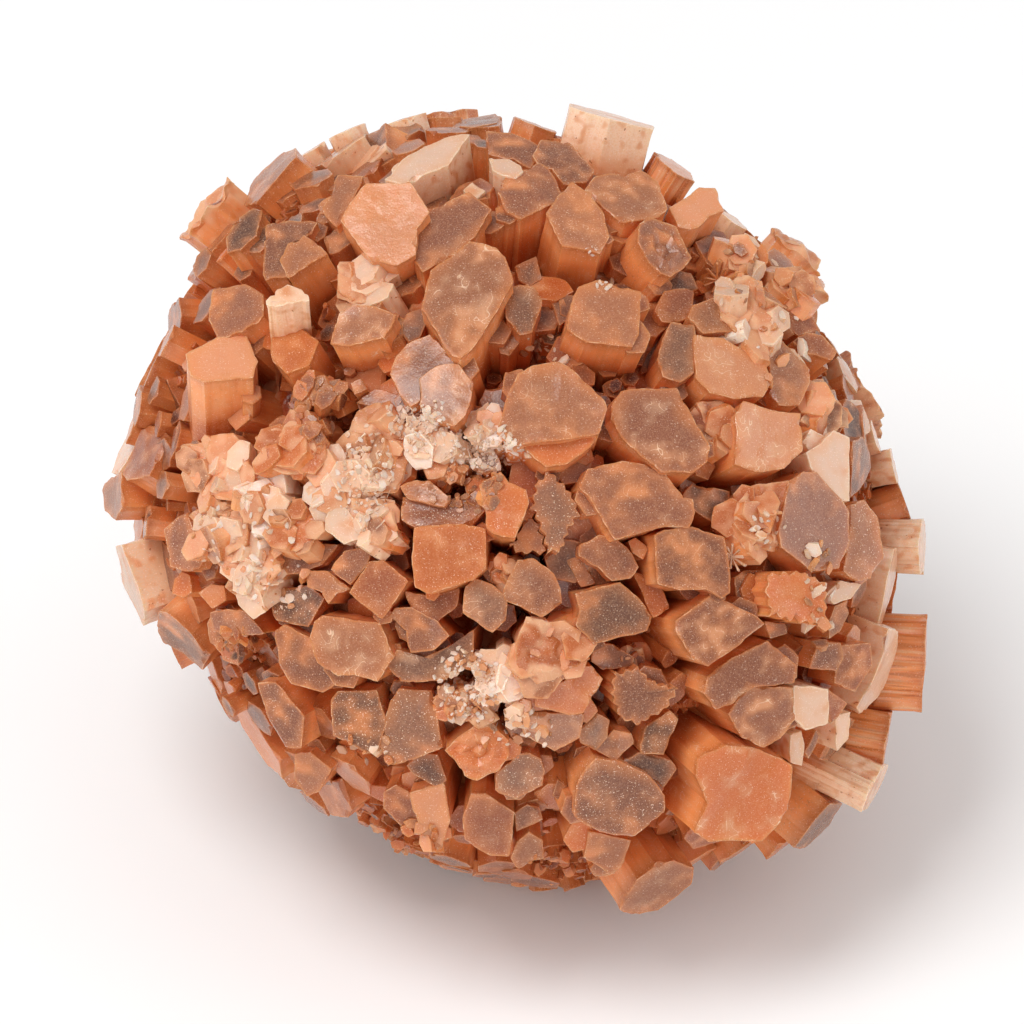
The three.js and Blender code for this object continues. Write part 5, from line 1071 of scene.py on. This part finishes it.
# Right of and above the heart, half width, half height, grains, smallest and largest half
# width of a grain, tones
CRUST_PATCHES = [
    (5.5, 16.8, 0.1, 0.1, 1, 0.8, 0.8, ("white", "white", "white", "white")),
    (-3.5, 6.5, 4.5, 2.6, 200, 0.12, 0.45, ("white", "white", "cream", "white")),
    (-11.0, 9.5, 3.4, 2.8, 180, 0.12, 0.45, ("white", "white", "cream", "white")),
    (-17.0, 3.5, 3.6, 5.2, 150, 0.12, 0.5, ("white", "cream", "white", "cream")),
    (-5.5, -20.0, 3.5, 4.0, 210, 0.12, 0.5, ("white", "cream", "white", "peach")),
    (0.5, -25.0, 4.5, 2.0, 30, 0.2, 0.9, ("cream", "white", "peach", "grey")),
    (-17.0, -27.5, 3.0, 1.6, 12, 0.3, 0.9, ("peach", "orange", "cream", "white")),
    (-31.0, -3.0, 5.5, 5.0, 50, 0.15, 0.7, ("cream", "white", "white", "peach")),
    (-27.5, -9.0, 4.0, 3.0, 40, 0.15, 0.7, ("cream", "peach", "white", "cream")),
    (-32.0, -15.5, 2.2, 1.8, 26, 0.3, 0.9, ("brown", "dark", "orange", "peach")),
    (2.7, 18.0, 2.0, 2.0, 14, 0.25, 0.6, ("white", "grey", "cream", "white")),
    (10.2, 25.4, 1.3, 0.5, 9, 0.2, 0.5, ("white", "white", "cream", "white")),
    (8.5, 29.3, 0.8, 0.6, 5, 0.2, 0.45, ("white", "white", "white", "white")),
    (-22.0, 11.5, 3.5, 4.0, 40, 0.4, 1.2, ("brown", "orange", "tan", "mauve")),
    (-5.5, 2.0, 4.0, 2.5, 40, 0.3, 1.0, ("mauve", "brown", "grey", "tan")),
    (27.0, 26.5, 4.5, 4.5, 20, 0.3, 1.4, ("peach", "orange", "cream", "tan")),
    (29.5, 19.5, 3.5, 4.5, 12, 0.3, 1.4, ("cream", "peach", "white", "orange")),
    (28.5, -2.5, 2.0, 2.5, 16, 0.2, 0.7, ("white", "cream", "white", "peach")),
    (34.5, -9.0, 2.0, 6.0, 26, 0.3, 1.1, ("white", "peach", "grey", "cream")),
    (4.5, -40.5, 3.0, 1.2, 22, 0.3, 1.0, ("orange", "tan", "peach", "brown")),
    (13.0, -16.5, 1.5, 1.5, 10, 0.25, 0.8, ("orange", "peach", "brown", "cream")),
    (-12.0, -38.0, 4.0, 2.0, 30, 0.4, 1.2, ("tan", "brown", "peach", "orange")),
]
VIEWER = 90.0
GRAIN_STEP = 1.1


def crust_patch(patch, stream):
    """Grains on what lies in sight inside an oval, each on its own scattered spot and leaning
    between the slope of the surface there and the line of sight."""
    u, v, half_u, half_v, count, small, large, tones = patch
    number = np.arange(count)
    angle = GOLDEN_ANGLE * number + stream
    out = np.sqrt((number + 0.5) / count) * (0.8 + 0.4 * scatter(number, stream))
    starts = np.column_stack([
        u + half_u * out * np.cos(angle), v + half_v * out * np.sin(angle),
        np.full(count, VIEWER)])
    sight = np.broadcast_to([0.0, 0.0, -1.0], starts.shape)
    spots, slopes, found = surface_below(starts, sight)
    made = []
    for i in number[found]:
        half = small + (large - small) * scatter(i, stream + 1) ** 2.2
        tilt = 1.2 * (scatter(i, np.array([71, 72, 73]) + stream) - 0.5)
        lean = unit(0.8 * slopes[i] - 0.5 * sight[i] + tilt)
        section = hexagon(half, half * (0.4 + 0.5 * scatter(i, 74)), 3 * scatter(i, 75), i)
        section = section * (0.75 + 0.5 * scatter(i, CORNER_STREAMS))[:, None]
        tone = tones[int(scatter(i, stream + 2) * len(tones))]
        made.append(crystal(
            f"grain_{stream}_{i}", section, spots[i] + lean * half * 0.45, lean, tone, "",
            9000 + 100 * stream + i, 1.0 + 2 * half, GRAIN_STEP))
    return made


NEEDLE_STEP = 0.3
NEEDLE_HALF_WIDTH = 0.26


def needle_spray(spray, stream):
    """Thin blades that fan out from one spot on what lies in sight there, evenly around it
    and each with its own length and slope."""
    u, v, blades, length, tone = spray
    spots, _, _ = surface_below(np.array([[u, v, VIEWER]]), np.array([[0.0, 0.0, -1.0]]))
    made = []
    for i in range(blades):
        turn = 2 * np.pi * (i + 0.4 * scatter(i, stream)) / blades
        aim = unit(np.array([np.cos(turn), np.sin(turn), 0.35 + 0.5 * scatter(i, stream + 1)]))
        long = length * (0.7 + 0.5 * scatter(i, stream + 2))
        section = hexagon(NEEDLE_HALF_WIDTH, NEEDLE_HALF_WIDTH / 2, turn, i)
        made.append(crystal(
            f"needle_{stream}_{i}", section, spots[0] + aim * long, aim, tone, "",
            9500 + i, long + 0.5, NEEDLE_STEP))
    return made


# Right of and above the heart, blades, length, tone
NEEDLE_SPRAYS = [
    (24.5, -5.5, 10, 1.9, "cream"),
    (23.0, 26.0, 9, 2.2, "peach"),
    (2.5, 19.0, 8, 1.6, "white"),
]

crust = []
for stream, patch in enumerate(CRUST_PATCHES, 80):
    crust += crust_patch(patch, stream)
for stream, spray in enumerate(NEEDLE_SPRAYS, 110):
    crust += needle_spray(spray, stream)
grown_together("crust_grains", crust)

# ---- Aragonite, the material ------------------------------------------------------------
# Light goes a few millimetres into the stone and comes out warmer. Ends are frosted, sides
# run from peach at the rim to deep orange at the root, with darker lines lengthwise.


class Wire:
    """A socket of a node tree. Sums and products of wires add the nodes that work them out."""

    def __init__(self, tree, socket=None):
        self.tree = tree
        self.socket = socket

    def node(self, kind, settings=None, values=None, output=0):
        """Adds any other node: its settings by name and its socket values by name or place."""
        made = self.tree.nodes.new("ShaderNode" + kind)
        for word, value in (settings or {}).items():
            setattr(made, word, value)
        for word, value in (values or {}).items():
            if isinstance(value, Wire):
                self.tree.links.new(value.socket, made.inputs[word])
            else:
                made.inputs[word].default_value = value
        return Wire(self.tree, made.outputs[output] if made.outputs else None)

    def output(self, name):
        """Another output of the same node."""
        return Wire(self.tree, self.socket.node.outputs[name])

    def maths(self, operation, *values):
        """One operation on wires or numbers, in their order."""
        return self.node("Math", {"operation": operation}, dict(enumerate(values)))

    def vector(self, operation, *values, output=0):
        """The same for vectors."""
        return self.node("VectorMath", {"operation": operation}, dict(enumerate(values)), output)

    def __add__(self, other):
        return self.maths("ADD", self, other)

    def __sub__(self, other):
        return self.maths("SUBTRACT", self, other)

    def __rsub__(self, other):
        return self.maths("SUBTRACT", other, self)

    def __mul__(self, other):
        return self.maths("MULTIPLY", self, other)

    __radd__ = __add__

    def ramp(self, low, high):
        """Eases from 0 at the low value to 1 at the high one."""
        values = {"Value": self, "From Min": low, "From Max": high}
        return self.node("MapRange", {"interpolation_type": "SMOOTHSTEP"}, values)

    def blend(self, start, end):
        """Goes from the start colour to the end colour as this value goes from 0 to 1."""
        return self.node("Mix", {"data_type": "RGBA"}, {0: self, 6: start, 7: end}, output=2)

    def tinted(self, other):
        """This colour times another."""
        settings = {"data_type": "RGBA", "blend_type": "MULTIPLY"}
        return self.node("Mix", settings, {0: 1.0, 6: self, 7: other}, output=2)

    def spread(self, *scales):
        """This vector with its three parts scaled."""
        return self.vector("MULTIPLY", self, scales)

    def noise(self, scale, detail=0.0, rough=0.5):
        """Soft noise around a half at this place: so many bumps a millimetre, finer ones added
        by the detail and weighed by the roughness."""
        values = {"Vector": self, "Scale": scale, "Detail": detail, "Roughness": rough}
        return self.node("TexNoise", {}, values)


def colour(red, green, blue):
    """The colour with nothing let through."""
    return (red, green, blue, 1.0)


SEED_SHIFTS = (61.0, 37.0, 23.0)


def aragonite():
    """The one material of the cluster. Noise that is fixed to each crystal and to its own seed
    mixes the colours of its end and of its sides; which of them a point gets is told by its
    distance in from the rim."""
    material = bpy.data.materials.new("aragonite")
    material.use_nodes = True
    tree = material.node_tree
    tree.nodes.clear()
    start = Wire(tree)
    tint = start.node("Attribute", {"attribute_name": "tint"})
    seed = tint.output("Alpha")
    habit = start.node("Attribute", {"attribute_name": "habit"})
    rough = habit.output("Alpha")
    marks = start.node("SeparateColor", {}, {"Color": habit})
    cloudy, specked, striped = (marks.output(k) for k in range(3))
    place = start.node("Attribute", {"attribute_name": "place"}, output="Vector")
    rim = start.node("Attribute", {"attribute_name": "rim"}, output="Fac")
    depth = start.node("SeparateXYZ", {}, {"Vector": place}, output="Z")
    apart = {axis: seed * shift for axis, shift in enumerate(SEED_SHIFTS)}
    spot = start.vector("ADD", place, start.node("CombineXYZ", {}, apart))

    # the frosted end: smoky where it is deep, with warm patches painted where light would come up through
    # it and a painted glow near the rim
    broad = spot.noise(0.12)
    veil = spot.noise(0.42, 1.0, 0.6)
    grain = spot.noise(5.5)
    pale_tone = start.node("RGBToBW", {}, {0: tint}).ramp(0.55, 0.70)
    smoky = tint.tinted(colour(0.90, 0.83, 0.84))
    warm = veil.ramp(0.2, 0.8).blend(tint, colour(0.70, 0.34, 0.17))
    end = (broad + veil * 0.5).ramp(0.62, 1.06).blend(smoky, warm)
    end = (veil.ramp(0.44, 0.76) * cloudy * 0.42).blend(end, colour(0.82, 0.66, 0.56))
    # painted light: a warm orange glow near the rim and in broad patches, as if light came in through the
    # sides
    painted_rim_glow = 1.0 - (rim * 0.7 + broad * 4.5).ramp(1.2, 3.2)
    end = (painted_rim_glow * 0.4).blend(end, colour(0.80, 0.40, 0.18))

    # the ribbed sides: as warm as the rim at the top, deep orange toward the root
    ribs = spot.spread(1.0, 1.0, 0.07).noise(1.7, 1.0, 0.7)
    warm_rim = (veil * 0.5 + 0.35).blend(tint, colour(0.78, 0.38, 0.17))
    side = depth.ramp(0.2, 2.5).blend(warm_rim, colour(0.95, 0.49, 0.24))
    side = depth.ramp(3.0, 11.0).blend(side, colour(0.60, 0.19, 0.05))
    side = (veil.ramp(0.46, 0.75) * 0.35).blend(side, colour(0.86, 0.56, 0.38))
    cream = depth.ramp(1.5, 10.0).blend(tint, colour(0.80, 0.44, 0.23))
    stain = spot.noise(0.9)
    cream = (stain.ramp(0.52, 0.80) * 0.7).blend(cream, colour(0.70, 0.34, 0.17))
    side = (pale_tone * 0.9).blend(side, cream)
    pale = ribs.ramp(0.50, 0.68) * (striped * 0.6)
    side = pale.blend(side, colour(0.90, 0.74, 0.62))
    dark = (1.0 - ribs.ramp(0.32, 0.48)) * (striped * 0.6) * (1.0 - pale_tone * 0.6)
    side = dark.blend(side, colour(0.50, 0.18, 0.06))

    on_end = (rim + (grain - 0.5) * 0.5).ramp(0.02, 0.34)
    base = on_end.blend(side, end)
    # painted shade: the chipped rim band and the top of the sides are darkened toward dark orange-brown,
    # except on pale crystals
    edge = (1.0 - rim.ramp(0.05, 0.35)) * (1.0 - depth.ramp(0.2, 0.9)) * (1.0 - pale_tone)
    base = (edge * 0.45).blend(base, colour(0.46, 0.20, 0.09))
    frost = grain.ramp(0.35, 0.75) * (0.30 - on_end * 0.12)
    base = frost.blend(base, on_end.blend(colour(0.92, 0.56, 0.33), colour(0.82, 0.60, 0.46)))

    # fine white specks, curved cracks, a nibbled painted highlight along parts of the rim, crust on
    # rough ends and brown dots on pale sides
    speck = spot.noise(6.5).ramp(0.72, 0.77) * (specked * 0.6 + 0.4)
    base = (speck * 0.85).blend(base, colour(0.97, 0.95, 0.95))
    crack = 1.0 - start.maths("ABSOLUTE", stain - 0.5).ramp(0.004, 0.020)
    crack = crack * veil.ramp(0.54, 0.66) * (cloudy * 0.7 + 0.1)
    base = crack.blend(base, colour(0.95, 0.88, 0.82))
    # painted highlight: a broken pale line just inside the rim
    line = (1.0 - rim.ramp(0.04, 0.18)) * rim.ramp(0.0, 0.04) * stain.ramp(0.56, 0.66)
    base = (line * 0.45).blend(base, colour(0.93, 0.80, 0.70))
    crust = veil.ramp(0.40, 0.64) * rough
    base = (crust * 0.5).blend(base, colour(0.95, 0.78, 0.66))
    dots = spot.noise(2.3).ramp(0.76, 0.79) * pale_tone * (1.0 - on_end)
    base = (dots * stain.ramp(0.45, 0.60) * 0.8).blend(base, colour(0.45, 0.20, 0.10))

    # painted shade: what lies low between its neighbours is darkened and warmed, as if it got only light
    # that has come through stone
    where = start.node("TexCoord", output="Object")
    from_heart = start.vector("SUBTRACT", where, tuple(HEART * MM))
    along, across, out = (
        start.vector("DOT_PRODUCT", from_heart, tuple(way / MM), output="Value")
        for way in ((FACE[1] - FACE[0]) * DIAGONAL / LONG_RADIUS,
                    (FACE[1] + FACE[0]) * DIAGONAL / SHORT_RADIUS, FACE[2] / DEPTH_RADIUS))
    shares = start.node("CombineXYZ", {}, {0: along, 1: across, 2: out})
    reached = start.vector("LENGTH", shares, output="Value")
    behind = 1.0 - out.ramp(-0.3, 0.1)
    painted_low_shade = 1.0 - (reached + behind * 0.05 + (veil - 0.5) * 0.08).ramp(0.87, 1.0)
    base = (painted_low_shade * 0.7).blend(base, base.tinted(colour(0.74, 0.46, 0.30)))

    # deeper and warmer as a whole, the pale crystals less
    base = start.node("Gamma", {}, {"Color": base, "Gamma": 1.22})
    base = base.tinted(pale_tone.blend(colour(0.93, 0.735, 0.56), colour(0.98, 0.84, 0.71)))

    height = grain * 0.02 + ribs * 0.06
    bump = start.node("Bump", {}, {"Height": height, "Strength": 0.6, "Distance": MM})
    dullness = 0.17 + veil * 0.14 + crust * 0.4
    shader = start.node("BsdfPrincipled", {"subsurface_method": "RANDOM_WALK"}, {
        "Base Color": base, "Roughness": dullness, "Normal": bump, "IOR": 1.5,
        "Specular IOR Level": 0.4, "Subsurface Weight": 0.26,
        "Subsurface Radius": (1.0, 0.48, 0.26), "Subsurface Scale": 4.0 * MM})
    start.node("OutputMaterial", {}, {"Surface": shader})
    return material


stone = aragonite()
for piece in bpy.context.scene.collection.objects:
    if piece.type == "MESH":
        piece.data.materials.clear()
        piece.data.materials.append(stone)

# ---- Floor, light and camera ------------------------------------------------------------
# A plain pale floor and four soft lights: above, in front and at both sides. The camera
# stands far off and looks square at the best side.


def plain(name, red, green, blue):
    """A dull material of one colour."""
    material = bpy.data.materials.new(name)
    material.use_nodes = True
    shader = material.node_tree.nodes["Principled BSDF"]
    shader.inputs["Base Color"].default_value = colour(red, green, blue)
    shader.inputs["Roughness"].default_value = 0.9
    shader.inputs["Specular IOR Level"].default_value = 0.2
    return material


FLOOR_SPAN = 8.0
sheet = bpy.data.meshes.new("floor")
corners = [(-1, -1, 0), (1, -1, 0), (1, 1, 0), (-1, 1, 0)]
sheet.from_pydata(np.array(corners) * FLOOR_SPAN, [], [(0, 1, 2, 3)])
sheet.materials.append(plain("floor", 0.96, 0.96, 0.96))
ground = bpy.data.objects.new("floor", sheet)
bpy.context.scene.collection.objects.link(ground)


def aimed(thing, spot, target):
    """Puts a camera or light at a spot, with its back away from the target and its right-hand
    side level."""
    ahead = unit(np.array(spot) - np.array(target))
    side = np.cross([0.0, 0.0, 1.0], ahead)
    side = unit(side) if np.linalg.norm(side) > 1e-6 else np.array([1.0, 0, 0])
    placed = np.eye(4)
    placed[:3] = np.column_stack([side, np.cross(ahead, side), ahead, spot])
    thing.matrix_world = placed.T.tolist()


def soft_light(name, spot, size, power):
    """A round lamp at a spot, in metres, that shines at the heart."""
    lamp = bpy.data.lights.new(name, "AREA")
    lamp.shape = "DISK"
    lamp.size = size
    lamp.energy = power
    made = bpy.data.objects.new(name, lamp)
    bpy.context.scene.collection.objects.link(made)
    aimed(made, spot, HEART * MM)


soft_light("light_above", (-0.25, -0.20, 0.78), 0.40, 3.2)
soft_light("light_front", (0.10, -0.85, 0.16), 0.50, 1.25)
soft_light("light_left", (-0.75, -0.20, 0.35), 0.50, 1.1)
soft_light("light_right", (0.75, 0.0, 0.30), 0.50, 1.2)

world = bpy.data.worlds.new("studio")
world.use_nodes = True
world.node_tree.nodes["Background"].inputs[0].default_value = colour(1.0, 1.0, 1.0)
world.node_tree.nodes["Background"].inputs[1].default_value = 0.6
bpy.context.scene.world = world
bpy.context.scene.view_settings.view_transform = "Standard"

FAR_OFF = 3.0
PICTURE_PIXELS = 1024
PIXELS_PER_MM = 8.7
PICTURE_MIDDLE = np.array([-0.46, -0.46, 0.0])
lens = bpy.data.cameras.new("camera")
camera = bpy.data.objects.new("camera", lens)
bpy.context.scene.collection.objects.link(camera)
bpy.context.scene.camera = camera
lens.sensor_width = 36.0
lens.lens = lens.sensor_width * FAR_OFF / (PICTURE_PIXELS / PIXELS_PER_MM * MM)
lens.clip_end = 30.0
target = (HEART + PICTURE_MIDDLE @ FACE) * MM
aimed(camera, target + FACE[2] * FAR_OFF, target)
